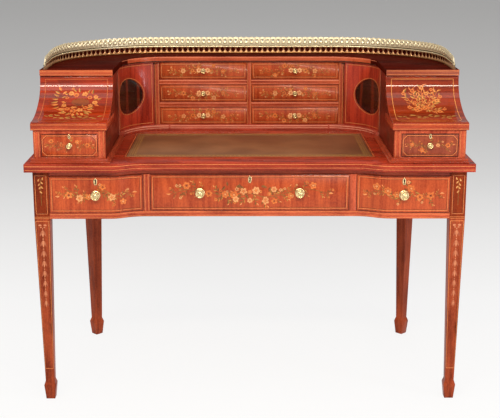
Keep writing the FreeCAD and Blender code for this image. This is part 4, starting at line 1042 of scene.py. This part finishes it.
def sprig(sheet, u, v, angle, length, rand, bend, pairs):
    """A short curved twig with alternate leaves and a bud or a small flower at its tip."""
    headings = [angle + bend * (i / TWIG_STEPS - 0.5) for i in range(TWIG_STEPS + 1)]
    points = []
    for heading in headings:
        points.append((u, v))
        u += math.cos(heading) * length / TWIG_STEPS
        v += math.sin(heading) * length / TWIG_STEPS
    sheet.line(points, [length * share for share in TWIG_WIDE], "leaf", layer=1)
    for i in range(1, TWIG_STEPS):
        hand = 1 if i % 2 else -1
        leaf(sheet, *points[i], headings[i] + hand * rand.uniform(*LEAF_LEAN),
             length * rand.uniform(*LEAF_LONG), *rand.choice(pairs))
    if rand.random() < BLOOM_CHANCE:
        flower(sheet, *points[-1], length * TWIG_FLOWER, 5, rand.choice(("cream", "orange")),
               "shadow", rand.uniform(0, 1))
    else:
        bud(sheet, *points[-1], angle + bend / 2, length * TWIG_BUD)


def spray(sheet, middle, half, high, seed, flowers, pairs):
    """A waving spray both ways from the middle, with sprigs, leaves and flowers."""
    rand = random.Random(seed)
    for side in (-1, 1):
        wave = rand.choice((-1, 1))

        def path(t):
            swing = math.sin(t * math.pi * STEM_TURNS) * (1 - STEM_CALM * t)
            return middle[0] + side * t * half, middle[1] + wave * high * STEM_WAVE * swing
        stem = [path(i / STEM_STEPS) for i in range(STEM_STEPS + 1)]
        sheet.line(stem, [high * share for share in STEM_WIDE], "leaf", layer=1)
        count = max(4, round(half / high * 5))
        for index in range(count):
            t = (index + 0.5) / count + rand.uniform(-0.03, 0.03)
            here, ahead = path(t), path(t + 0.03)
            heading = math.atan2(ahead[1] - here[1], ahead[0] - here[0])
            for hand in (-1, 1):
                if rand.random() < GAP_CHANCE:
                    continue
                lean = hand * side * rand.uniform(*SPRIG_LEAN)
                length = high * rand.uniform(*SPRIG_LONG) * (1 - SPRIG_SHRINK * t)
                sprig(sheet, *here, heading + lean, length, rand, -lean / 2, pairs)
        for t in flowers:
            u, v = path(t)
            offset = rand.choice((-1, 1)) * high * rand.uniform(*FLOWER_ASIDE)
            colours = rand.choice((("cream", "orange"), ("orange", "cream"), ("orange", "shadow")))
            flower(sheet, u, v + offset, high * rand.uniform(*FLOWER_SIZE), rand.choice((5, 6)),
                   *colours, rand.uniform(0, 1))
        bud(sheet, *path(1.0), 0.0 if side > 0 else math.pi, high * END_BUD)


# %% [markdown]
# Drawer fronts come next. Each has a dark line along its edge, painted shade for the gap round
# the drawer, a pale string with a fine dark one inside it, a hand's breadth of plain veneer, and a
# spray behind its knobs. The wing drawers' strings have their corners clipped off.

# %% Drawer marquetry
STRING_WIDE, STRING_INSET, CLIPPED_INSET, CLIP = 0.0016, 0.0075, 0.0050, 0.011
FINE_GAP, FINE_WIDE = 0.0022, 0.0007
GAP_SHADE_INSET, GAP_SHADE_WIDE, SMALL_GAP_SHADE_WIDE = 0.0014, 0.0016, 0.0008
FRIEZE_SET, CENTRE_SET = 0.021, 0.051
KNOB_FLOWER_ASIDE, KNOB_FLOWER_UP, KNOB_FLOWER = 0.0145, 0.0015, 0.0086
CENTRE_FLOWERS = (
    (-0.042, -0.020, 0.0100, "cream"), (0.0, 0.002, 0.0070, "orange"),
    (0.0, -0.024, 0.0085, "cream"), (0.047, -0.020, 0.0085, "cream"),
    (0.072, 0.010, 0.0095, "cream"), (0.058, -0.004, 0.0065, "orange"))


def drawer_inlay(name, front, half, flowers, seed, face=None, inset=STRING_INSET, clip=0.0,
                 edge=GAP_SHADE_WIDE, bold=1.0, pairs=LEAF_PAIRS):
    """The strings of one drawer, whose front is a node, and a spray, higher where it is bold."""
    low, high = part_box(front)
    sheet = Inlay(name + "_marquetry", name, face or flat_front(low.y))
    corners = ((low.x, low.z), (high.x, high.z))
    sheet.frame(*corners, inset, STRING_WIDE, "string", clip)
    sheet.frame(*corners, inset + FINE_GAP, FINE_WIDE, "ebony", clip)
    # This dark line along the drawer's edge is painted shade for the gap round the drawer.
    sheet.frame(*corners, GAP_SHADE_INSET, edge, "ebony")
    middle = ((low.x + high.x) / 2, (low.z + high.z) / 2)
    spray(sheet, middle, half, (high.z - low.z) * bold, seed, flowers, pairs)
    return sheet, middle


for word, seed in (("left", 3), ("right", 8)):
    name = f"frieze_drawer_{word}"
    drawer_inlay(name, name + "_front", 0.106, (0.2, 0.45, 0.75), seed,
                 bowed_front(FRIEZE_SET))[0].finish()
name = "frieze_drawer_centre"
sheet, (middle_x, middle_z) = drawer_inlay(
    name, name + "_front", 0.235, (0.08, 0.2, 0.31, 0.52, 0.8), 21,
    flat_front(set_back(CENTRE_SET)))
rand = random.Random(4)
for x, lift, radius, veneer in CENTRE_FLOWERS:
    flower(sheet, x, middle_z + lift, radius, 6, veneer, "orange" if veneer == "cream" else "cream",
           rand.uniform(0, 1), 6)
for index in range(26):
    leaf(sheet, rand.uniform(-0.085, 0.085), middle_z + rand.uniform(-0.022, 0.024),
         rand.uniform(0, 2 * math.pi), rand.uniform(0.014, 0.021), *rand.choice(LEAF_PAIRS[1:3]))
sheet.finish()
for word, side in SIDES:
    name = f"wing_drawer_{word}"
    drawer_inlay(name, name, 0.066, (0.35, 0.8), 5 + side, inset=CLIPPED_INSET,
                 clip=CLIP)[0].finish()
    for row, row_word in enumerate(ROWS):
        name = f"nest_drawer_{row_word}_{word}"
        sheet, (middle_x, middle_z) = drawer_inlay(
            name, name, 0.112, (0.14, 0.32, 0.6), 31 + row * 2 + side, edge=SMALL_GAP_SHADE_WIDE,
            bold=1.3, pairs=GOLDEN_PAIRS)
        for hand in (-1, 1):
            flower(sheet, middle_x + hand * KNOB_FLOWER_ASIDE, middle_z + KNOB_FLOWER_UP,
                   KNOB_FLOWER, 6, "pale", "orange", 0.3 * row, 6)
        sheet.finish()

# %% [markdown]
# The lids carry the best pictures, inside a string that follows the hollow: a wreath of flowers
# round a dark shell on the left one, and a tied bouquet on the right one. Places and lengths on
# the lids are in millimetres, from the lid's middle and from its foot.

# %% Lid marquetry
MM = 1000
WREATH_FLOWERS = (
    (-12, 188, 8.5, "gold"), (3, 183, 9.0, "orange"), (30, 186, 9.0, "gold"),
    (45, 170, 8.0, "orange"), (63, 172, 7.5, "gold"), (62, 150, 9.0, "gold"),
    (-30, 132, 8.5, "gold"), (-18, 116, 9.5, "orange"), (2, 104, 12.0, "orange"),
    (20, 110, 11.0, "gold"), (36, 122, 9.0, "orange"), (50, 134, 8.0, "gold"),
    (-8, 205, 5.0, "orange"), (-2, 124, 7.0, "gold"), (-24, 172, 6.0, "orange"),
)
WREATH_LEAVES = (
    (-46, 190, 2.7, 17), (-48, 178, 2.9, 18), (-50, 166, 3.1, 18), (-50, 154, 3.3, 18),
    (-48, 141, 3.5, 17), (-44, 128, 3.7, 17), (-42, 196, 1.9, 14), (-38, 184, 0.6, 12),
    (-40, 168, 0.3, 13), (-40, 152, -0.3, 13), (-34, 140, 0.9, 12), (14, 190, 1.7, 13),
    (20, 178, 0.7, 14), (52, 182, 1.3, 14), (58, 164, 0.2, 15), (70, 160, 0.6, 13),
    (60, 138, -0.3, 14), (46, 120, -0.5, 15), (30, 104, -0.7, 15), (-4, 92, -2.0, 14),
    (12, 94, -1.2, 15), (-26, 106, 3.9, 15), (-34, 118, 3.4, 14), (4, 196, 2.3, 12),
    (38, 186, 0.9, 12), (-22, 182, 2.4, 12), (26, 128, 1.2, 13), (10, 118, 1.9, 12),
)
LOW_LEAVES = tuple((8 + 34 * math.cos(a), 108 + 20 * math.sin(a), a, 19) for a in (
    0.3, 0.0, -0.35, -0.7, -1.05, -1.4, -1.75, -2.1, -2.45, -2.8, 3.1, 2.8))
BOUQUET_STEMS = ((-62, 186, 0.2), (-50, 168, 0.4), (-34, 196, 0.1), (-22, 178, -0.1),
                 (-6, 206, 0.0), (8, 186, 0.1), (24, 200, -0.2), (40, 190, -0.1), (50, 174, -0.3),
                 (38, 156, -0.2), (-30, 148, 0.3), (56, 112, -0.3), (40, 96, -0.4), (-48, 122, 0.3))
SHELL_ASIDE, SHELL_UP, SHELL_FOOT, SHELL_HEAD = 0.018, 0.150, 0.133, 0.166
TIE_ASIDE, TIE_UP, TIED_STEPS, TIED_LEAF_CHANCE, TIED_BLOOM_CHANCE = -0.006, 0.112, 6, 0.72, 0.6
ROW_START, ROW_STEP, ROW_COUNT, ROW_UP, ROW_LEAN = 0.072, 0.018, 9, 0.056, 1.15
FRAME_INSET, FRAME_FOOT, FRAME_TOP, FRAME_CURVE = 0.0165, 0.018, 0.0045, 0.016


def wreath(sheet, middle, rand):
    """Flowers and leaves round a dark shell."""
    shell = middle + SHELL_ASIDE
    sheet.chip(oval(shell, SHELL_UP, 0.027, 0.019, 28), "shaded", 1)
    for index in range(-3, 4):
        lean = index * 0.0075
        sheet.line([(shell + lean * 0.2, SHELL_FOOT), (shell + lean, SHELL_UP),
                    (shell + lean * 0.6, SHELL_HEAD)], 0.0009, "ebony", layer=2)
    for u, v, angle, length in WREATH_LEAVES + LOW_LEAVES:
        leaf(sheet, middle + u / MM, v / MM + rand.uniform(-0.002, 0.002),
             angle + rand.uniform(-0.2, 0.2), length / MM * rand.uniform(1.05, 1.35),
             *rand.choice(WREATH_PAIRS), 3)
    for u, v, radius, veneer in WREATH_FLOWERS:
        flower(sheet, middle + u / MM, v / MM + rand.uniform(-0.002, 0.002), radius / MM,
               rand.choice((5, 6, 7)), veneer, "orange" if veneer == "gold" else "shadow",
               rand.uniform(0, 1), 5)


def bouquet(sheet, middle, rand):
    """Leafy stems that spread from one tied place low on the lid."""
    foot_u, foot_v = middle + TIE_ASIDE, TIE_UP
    for top_u, top_v, bend in BOUQUET_STEMS:
        du, dv = middle + top_u / MM - foot_u, top_v / MM - foot_v
        shares = [i / TIED_STEPS for i in range(TIED_STEPS + 1)]
        points = [(foot_u + du * s - bend * dv * s * (1 - s),
                   foot_v + dv * s + bend * du * s * (1 - s)) for s in shares]
        sheet.line(points, 0.0011, "orange", layer=2)
        for before, (u, v) in zip(points, points[1:]):
            along = math.atan2(v - before[1], u - before[0])
            for hand in (-1, 1):
                if rand.random() < TIED_LEAF_CHANCE:
                    leaf(sheet, u, v, along + hand * rand.uniform(0.4, 1.1),
                         rand.uniform(0.012, 0.021), *rand.choice(BOUQUET_PAIRS), 3)
        if rand.random() < TIED_BLOOM_CHANCE:
            flower(sheet, *points[-1], rand.uniform(0.006, 0.0085), 6,
                   rand.choice(("gold", "orange")), "shadow", rand.uniform(0, 1), 5)
    for index in range(8):
        flower(sheet, foot_u + rand.uniform(-0.024, 0.022), foot_v + rand.uniform(-0.010, 0.030),
               rand.uniform(0.006, 0.009), 6, rand.choice(("gold", "orange")), "shadow",
               rand.uniform(0, 1), 6)


def lid_frame(low, high, gap):
    """A string's path round the lid, with round corners at the foot."""
    left, right = low.x + FRAME_INSET + gap, high.x - FRAME_INSET - gap
    lower, upper = FRAME_FOOT + gap, LID_LONG - FRAME_TOP - gap
    turns = [i * math.pi / 12 for i in range(7)]
    corner = [(FRAME_CURVE * (1 - math.cos(turn)), FRAME_CURVE * (1 - math.sin(turn)))
              for turn in turns]
    points = divided((left, upper), (left, lower + FRAME_CURVE))
    points += [(left + a, lower + b) for a, b in corner]
    points += divided((left + FRAME_CURVE, lower), (right - FRAME_CURVE, lower))
    points += [(right - a, lower + b) for a, b in reversed(corner)]
    points += divided((right, lower + FRAME_CURVE), (right, upper))
    return points + divided((right, upper), (left, upper))


def lid_inlay(word, side, picture, strings):
    """The lid's strings, its picture, and a low row of leaves in pairs."""
    low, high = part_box(f"lid_{word}")
    sheet = Inlay(f"lid_{word}_marquetry", f"wing_lid_{word}", lid_face)
    middle = (low.x + high.x) / 2
    for gap, width, veneer in strings:
        sheet.line(lid_frame(low, high, gap), width, veneer, closed=True)
    rand = random.Random(50 + side)
    picture(sheet, middle + 0.002 * side, rand)
    for index in range(ROW_COUNT):
        u = middle - ROW_START + index * ROW_STEP + rand.uniform(-0.004, 0.004)
        for hand in (-1, 1):
            leaf(sheet, u, ROW_UP + rand.uniform(-0.010, 0.016), math.pi / 2 - hand * ROW_LEAN,
                 rand.uniform(0.014, 0.022), layer=1)
    sheet.finish()


SHEET_INSET, SHEET_FOOT, SHEET_SHORT, SHEET_FRONT, SHEET_REAR = 0.0009, 0.0012, 0.0020, 0.0001, -0.0004


def lid_veneer(word):
    """The thin sheet of veneer that covers the hollow, true to its curve."""
    low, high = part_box(f"lid_{word}")
    build = bmesh.new()
    wide, long = high.x - low.x - 2 * SHEET_INSET, LID_LONG - SHEET_SHORT
    across = [low.x + SHEET_INSET + wide * i / 12 for i in range(13)]
    along = [SHEET_FOOT + long * i / 80 for i in range(81)]
    front, rear = [[[build.verts.new(lid_face(u, v, lift)) for u in across] for v in along]
                   for lift in (SHEET_FRONT, SHEET_REAR)]
    for sheet in (front, rear):
        for lower, upper in zip(sheet, sheet[1:]):
            bridge(build, lower, upper, closed=False)
    for end in (0, -1):
        bridge(build, [row[end] for row in front], [row[end] for row in rear], closed=False)
    for end in (0, -1):
        bridge(build, front[end], rear[end], closed=False)
    data = mesh_of(build, f"lid_{word}_veneer", [nodes[f"lid_{word}"].data.materials[0]])
    data.set_sharp_from_angle(angle=math.radians(35))
    add_piece(f"lid_{word}_veneer", data, f"wing_lid_{word}")


for word, side, picture, strings in (
        ("left", -1, wreath, ((0.0, 0.0015, "lid_string"), (0.0019, 0.0007, "shadow"))),
        ("right", 1, bouquet, ((0.0, 0.0018, "gold"), (0.0022, 0.0007, "shadow")))):
    lid_inlay(word, side, picture, strings)
    lid_veneer(word)

# %% [markdown]
# The fixed parts carry quieter inlay: strings on rails, stiles and mouldings, a dark line of
# painted shadow under the shelf's edge, a chain of husks down each front leg, a ring round each
# oval, and a gilt border tooled on the leather.

# %% Legs and stiles
CUFF_HIGH, CHAIN_HIGH, CUFF_HALF, CUFF_THICK = 0.100, 0.570, 0.87, 0.0008
LEG_STRINGS = ((0.84, 0.07, "string"), (0.7812, 0.03, "ebony"))
HUSK_TOP, HUSK_STEP, HUSK_COUNT, HUSK_LONG, HUSK_SWELL = 0.543, 0.0315, 8, 0.0235, 0.26
BLOCK_STRINGS, BLOCK_HALF, BELL_HIGH = (0.578, 0.5825), 0.0225, 0.5575
STILE_LOW, STILE_HIGH, STILE_HALF, STILE_STEM, STEM_STEP = 0.592, 0.708, 0.0165, 0.618, 0.008
STILE_LEAVES = ((-0.0075, 0.690, 2.0), (-0.0070, 0.677, 2.2), (-0.0060, 0.667, 2.3),
                (0.0045, 0.694, 1.9), (0.0070, 0.683, 0.9), (0.0070, 0.669, 0.9),
                (0.0040, 0.655, 0.8))


def husk(sheet, v, wide):
    """Three narrow petals that hang from one point."""
    for lean, reach in ((-0.62, 0.86), (0.62, 0.86), (0.0, 1.0)):
        rim = []
        for hand, i in [(1, i) for i in range(6)] + [(-1, i) for i in range(4, 0, -1)]:
            t = i / 5
            swell = math.sin(math.pi * t ** 0.8) * HUSK_SWELL * hand
            rim.append(((lean * t * 1.1 + swell) * wide, v - t * HUSK_LONG * reach))
        sheet.chip(rim, "husk" if lean else "bell", 2 if lean else 3)


sheet = Inlay("leg_marquetry", "carcase")
for word, side in SIDES:
    sheet.face = leg_front(side)
    for hand in (-1, 1):
        for u, width, veneer in LEG_STRINGS:
            sheet.line([(hand * u, CUFF_HIGH + (CHAIN_HIGH - CUFF_HIGH) * i / 30)
                        for i in range(31)], width, veneer)
    for v in (CUFF_HIGH, CHAIN_HIGH):
        sheet.chip([(-CUFF_HALF, v - CUFF_THICK), (CUFF_HALF, v - CUFF_THICK),
                    (CUFF_HALF, v + CUFF_THICK), (-CUFF_HALF, v + CUFF_THICK)], "string")
    for index in range(HUSK_COUNT):
        v, wide = HUSK_TOP - index * HUSK_STEP, 0.62 - index * 0.02
        husk(sheet, v, wide)
        sheet.chip(oval(0, v + 0.0035, 0.13 * wide, 0.0026, 8), "bell")
    for hand in (-1, 1):
        sheet.chip(oval(hand * 0.34, BELL_HIGH, 0.22, 0.0030, 10), "bell")
        sheet.chip(oval(hand * 0.24, BELL_HIGH - 0.0065, 0.132, 0.0018, 10), "bell")
    sheet.face = flat_front(set_back(FRIEZE_SET))
    x = side * LEG_X
    for v in BLOCK_STRINGS:
        sheet.line([(x - BLOCK_HALF, v), (x + BLOCK_HALF, v)], 0.0014, "string")
    corners = ((x - STILE_HALF, STILE_LOW), (x + STILE_HALF, STILE_HIGH))
    sheet.frame(*corners, 0.0, 0.0014, "string")
    sheet.frame(*corners, 0.0018, 0.0006, "ebony")
    sheet.line([(x, STILE_STEM + i * STEM_STEP) for i in range(11)], 0.0011, "leaf", layer=1)
    for u, v, angle in STILE_LEAVES:
        leaf(sheet, x - side * u, v, math.pi / 2 + side * (angle - math.pi / 2), 0.0105, "cream",
             "pale_leaf")
sheet.finish("dark_mahogany")

# %% Strings on rails, stiles and mouldings
TOP_END, RAIL_END = cad_box[1].x - 0.003, 0.592
BASE_RADIUS, BASE_SET, FLANK_INNER = 0.148, 0.582, 0.424
SHELF_RADIUS, SHELF_SET, SHELF_END_SET = 0.150, 0.584, 0.222
FLANK_FRONT, FLANK_REAR, FLANK_FOOT, FLANK_HEAD = 0.055, 0.4225, 0.7525, 0.9700
DIVIDER_PLACES, DIVIDER_RUN = (0.3015, 0.3125), (0.5945, 0.7055)
FRAME_PLACES, FRAME_RUN = (0.4285, 0.4405, 0.6185, 0.6305), (0.762, 0.838)
NEST_PLACES, NEST_MIDDLE, NEST_RUN = (0.3062, 0.3168), (0.0050,), (0.765, 0.974)
LEDGE_HEIGHTS, LEDGE_RUN = (0.8445, 0.8575), (0.419, 0.640)
SHELF_HEIGHTS, SHELF_RUN = (0.9795, 0.9905), (0.4195, 0.6400)
RAIL_MIDDLES, RAIL_RUN = (0.831, 0.9078), (0.0072, 0.3035)
BASE_START, SHELF_START, SHELF_END, FINE_STEP, LONG_STEP = 0.034, 0.030, 0.2350, 0.006, 0.009
BASE_STRINGS = ((0.7592, 0.0020), (0.7522, 0.0016))
# The ebony line low on the shelf's edge is painted shadow under the shelf; the pink one is a string.
COVE_SHADE_AND_STRING = ((0.9785, 0.0030, "ebony"), (0.9912, 0.0014, "rail_string"))
sheet = Inlay("carcase_strings", "carcase")


def full_string(end, v, width):
    """A level string from one side of the desk to the other, along a bowed face."""
    sheet.line(divided((-end, v), (end, v), LONG_STEP) + [(end, v)], width, "string")


def uprights(places, run, width):
    for x in places:
        sheet.line([(side * x, run[0]), (side * x, run[1])], width, "string")


def bars(heights, run, width, veneer="string"):
    for v in heights:
        sheet.line([(side * run[0], v), (side * run[1], v)], width, veneer)


sheet.face = bowed_front(0.0)
full_string(TOP_END, 0.7395, 0.0016)
full_string(TOP_END, 0.7285, 0.0012)
sheet.face = bowed_front(FRIEZE_SET)
full_string(RAIL_END, 0.5805, 0.0014)
full_string(RAIL_END, 0.5905, 0.0014)
sheet.face = flat_front(set_back(CENTRE_SET))
for word, side in SIDES:
    # A known fault: the right-hand pair takes the last face of the left side, so it is inside
    # the case and the right-hand divider shows no strings.
    uprights(DIVIDER_PLACES, DIVIDER_RUN, 0.0013)
    sheet.face = flat_front(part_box("wing_frames")[0].y)
    uprights(FRAME_PLACES, FRAME_RUN, 0.0012)
    sheet.face = flat_front(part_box("wing_ledges")[0].y)
    bars(LEDGE_HEIGHTS, LEDGE_RUN, 0.0014)
    sheet.face = flat_front(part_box("nest_uprights")[0].y)
    uprights(NEST_PLACES, NEST_RUN, 0.0013)
    uprights(NEST_MIDDLE, NEST_RUN, 0.0011)
    sheet.face = flat_front(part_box("nest_rails")[0].y)
    for middle in RAIL_MIDDLES:
        bars((middle - 0.0055,), RAIL_RUN, 0.0012, "rail_string")
        bars((middle + 0.0050,), RAIL_RUN, 0.0026, "rail_string")
    for v, width in BASE_STRINGS:
        sheet.face = flat_front(set_back(BASE_SET))
        bars((v,), (0.0, COVE_X), width, "base_string")
        sheet.face = cove(side, BASE_RADIUS)
        quarter = BASE_RADIUS * math.pi / 2
        sheet.line(divided((BASE_START, v), (quarter, v), FINE_STEP), width, "base_string")
    sheet.face = flank(side * FLANK_INNER, -side)
    sheet.line([(FLANK_FRONT, FLANK_FOOT), (FLANK_REAR - 0.001, FLANK_FOOT)], 0.0016,
               "base_string")
    sheet.line([(FLANK_REAR, FLANK_FOOT), (FLANK_REAR, FLANK_HEAD)], 0.0016, "base_string")
    sheet.face = flat_front(set_back(SHELF_END_SET))
    bars(SHELF_HEIGHTS, SHELF_RUN, 0.0014)
    # The first of these lines is painted shadow under the shelf, the second a real string.
    for v, width, veneer in COVE_SHADE_AND_STRING:
        sheet.face = cove(side, SHELF_RADIUS)
        sheet.line(divided((SHELF_START, v), (SHELF_END, v), FINE_STEP) + [(SHELF_END + 0.0006, v)],
                   width, veneer)
        sheet.face = flat_front(set_back(SHELF_SET))
        sheet.line([(side * COVE_X, v), (0.0, v)], width, veneer)
    sheet.face = cove(side, SHELF_RADIUS)
sheet.finish()

# %% Rings round the ovals
OVAL_PLACE, OVAL_HALF_WIDE, OVAL_HALF_HIGH = 0.082, 0.0692, 0.057
DOOR_EDGE_X, STRING_FROM_HINGE, STRING_FROM_EDGE = 0.322, 0.0130, 0.006
DOOR_LOW, DOOR_HIGH = (corner.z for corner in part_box("cupboard_door_left"))
DOOR_LONG = COVE_RADIUS * math.acos((DOOR_EDGE_X - COVE_X) / COVE_RADIUS)
for word, side in SIDES:
    sheet = Inlay(f"door_{word}_strings", f"door_{word}", cove(side))
    for grow, width, veneer in ((0.0030, 0.0018, "string"), (0.0012, 0.0010, "ebony")):
        sheet.line(oval(OVAL_PLACE, (DOOR_LOW + DOOR_HIGH) / 2, OVAL_HALF_WIDE + grow,
                        OVAL_HALF_HIGH + grow, 72), width, veneer, closed=True)
    sheet.frame((STRING_FROM_HINGE, DOOR_LOW + STRING_INSET),
                (DOOR_LONG - STRING_FROM_EDGE, DOOR_HIGH - STRING_INSET), 0.0, STRING_WIDE, "string")
    sheet.finish()

# %% Border tooled on the leather, and the band round it
TOOLED_LINES = ((-0.003, 0.0016, "string"), (-0.006, 0.0009, "ebony"), (0.009, 0.0012, "gilt"),
                (0.022, 0.0020, "gilt"), (0.0255, 0.0008, "gilt"))
LOZENGE_STEP, LOZENGE_INSET, LOZENGE_LONG, LOZENGE_SHORT = 0.013, 0.0155, 0.004, 0.0028
BORDER = 0.022
low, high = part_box("writing_leather")
sheet = Inlay("desk_top_lines", "carcase", level(high.z))
for inset, width, veneer in TOOLED_LINES:
    sheet.frame(low, high, inset, width, veneer)
for axis, wide, tall in ((0, LOZENGE_LONG, LOZENGE_SHORT), (1, LOZENGE_SHORT, LOZENGE_LONG)):
    for index in range(int((high[axis] - low[axis] - 2 * BORDER) / LOZENGE_STEP)):
        along = low[axis] + BORDER + LOZENGE_STEP * (index + 0.5)
        for row in (low[1 - axis] + LOZENGE_INSET, high[1 - axis] - LOZENGE_INSET):
            u, v = (row, along) if axis else (along, row)
            sheet.chip([(u - wide, v), (u, v - tall), (u + wide, v), (u, v + tall)], "gilt")
sheet.finish("leather")

# %% [markdown]
# The desk stands on a plain pale floor that curves up into a backdrop. What the camera sees of
# it shades from white at the feet to grey at the top, along the way up the curve. Everything
# else sees a plain pale room.

# %% Floor and backdrop
FLOOR_HALF, FLOOR_FRONT, CURVE_START, CURVE_RADIUS, WALL_HIGH = 9.0, -7.0, 2.3, 2.2, 5.0
FADE_START, FADE_END, GLOW_SHARE = -0.4, 5.2, 0.88
FADE_TONES = ((0.62, 250), (1.32, 240), (2.29, 225), (3.85, 184), (4.93, 159))
floor_profile = [(FLOOR_FRONT, 0.0), (-1.5, 0.0), (0.4, 0.0), (CURVE_START, 0.0)]
floor_profile += [(CURVE_START + CURVE_RADIUS * math.sin(math.pi * step / 32),
                   CURVE_RADIUS * (1 - math.cos(math.pi * step / 32))) for step in range(1, 17)]
floor_profile.append((CURVE_START + CURVE_RADIUS, WALL_HIGH))
build = bmesh.new()
left, right = [[build.verts.new((x, y, z)) for y, z in floor_profile]
               for x in (-FLOOR_HALF, FLOOR_HALF)]
for face in bridge(build, right, left, closed=False):
    face.smooth = True
floor_mesh = bpy.data.meshes.new("floor")
build.to_mesh(floor_mesh)
build.free()
floor_material, tree, shader, along = start_material("pale_floor")
output = next(n for n in tree.nodes if n.type == "OUTPUT_MATERIAL")
parts = add_node(tree, "ShaderNodeSeparateXYZ", {0: object_place(tree)}).outputs
way = calculate(tree, "ADD", parts[1], parts[2])
share = add_node(tree, "ShaderNodeMapRange", {
    "Value": way, "From Min": FADE_START, "From Max": FADE_END}).outputs[0]
ramp = add_node(tree, "ShaderNodeValToRGB", {0: share})
ramp.color_ramp.elements[0].color = (1, 1, 1, 1)
ramp.color_ramp.elements[1].color = srgb(154, 154, 154)
for stop, tone in FADE_TONES:
    added = ramp.color_ramp.elements.new((stop - FADE_START) / (FADE_END - FADE_START))
    added.color = srgb(tone, tone, tone)
set_values(shader, Base_Color=srgb(240, 240, 240), Roughness=0.6)
glow = add_node(tree, "ShaderNodeEmission", {"Color": ramp.outputs[0], "Strength": 1.0})
rays = add_node(tree, "ShaderNodeLightPath").outputs
straight = calculate(tree, "ADD", rays["Is Camera Ray"], calculate(
    tree, "ADD", rays["Is Glossy Ray"], rays["Is Transmission Ray"]), clamp=True)
seen = calculate(tree, "MULTIPLY", straight, GLOW_SHARE)
mixed = add_node(tree, "ShaderNodeMixShader", {0: seen, 1: shader.outputs[0], 2: glow.outputs[0]})
tree.links.new(mixed.outputs[0], output.inputs["Surface"])
floor_mesh.materials.append(floor_material)
add_object("floor", floor_mesh)

# %% [markdown]
# A broad soft lamp in front and above, a weaker one on the other side and one overhead light the
# desk, and a cool one stands for a window on the right. A strip above the camera draws the bright
# line along the hollow of each lid.

# %% Lights
WARM, AMBER, COOL = (1.0, 0.95, 0.88), (1.0, 0.88, 0.7), (0.86, 0.9, 1.0)
LAMPS = (
    ("key", (-1.6, -3.2, 3.4), (0, 0, 0.75), 3.0, 2.4, 38, WARM),
    ("fill", (2.6, -3.2, 1.7), (0, 0, 0.7), 2.4, 2.2, 12, WARM),
    ("strip", (0, -2.97, 2.72), (0, -0.2, 0.92), 3.4, 0.26, 80, AMBER),
    ("overhead", (0, -0.4, 3.4), (0, 0, 0.8), 3.0, 1.4, 16, WARM),
    ("side_window", (2.2, -1.32, 0.7), (-0.4, 0.19, 0.9), 0.28, 1.5, 14, COOL),
)
for name, place, target, width, height, power, colour in LAMPS:
    data = bpy.data.lights.new(name, "AREA")
    data.shape, data.size, data.size_y, data.energy = "RECTANGLE", width, height, power
    data.color = colour
    lamp = add_object(name, data)
    lamp.location = place
    lamp.rotation_euler = (Vector(target) - Vector(place)).to_track_quat("-Z", "Y").to_euler()
world = bpy.data.worlds.new("room")
bpy.context.scene.world = world
world.use_nodes = True
background = next(n for n in world.node_tree.nodes if n.type == "BACKGROUND")
set_values(background, Color=(1.0, 0.95, 0.9, 1), Strength=0.45)
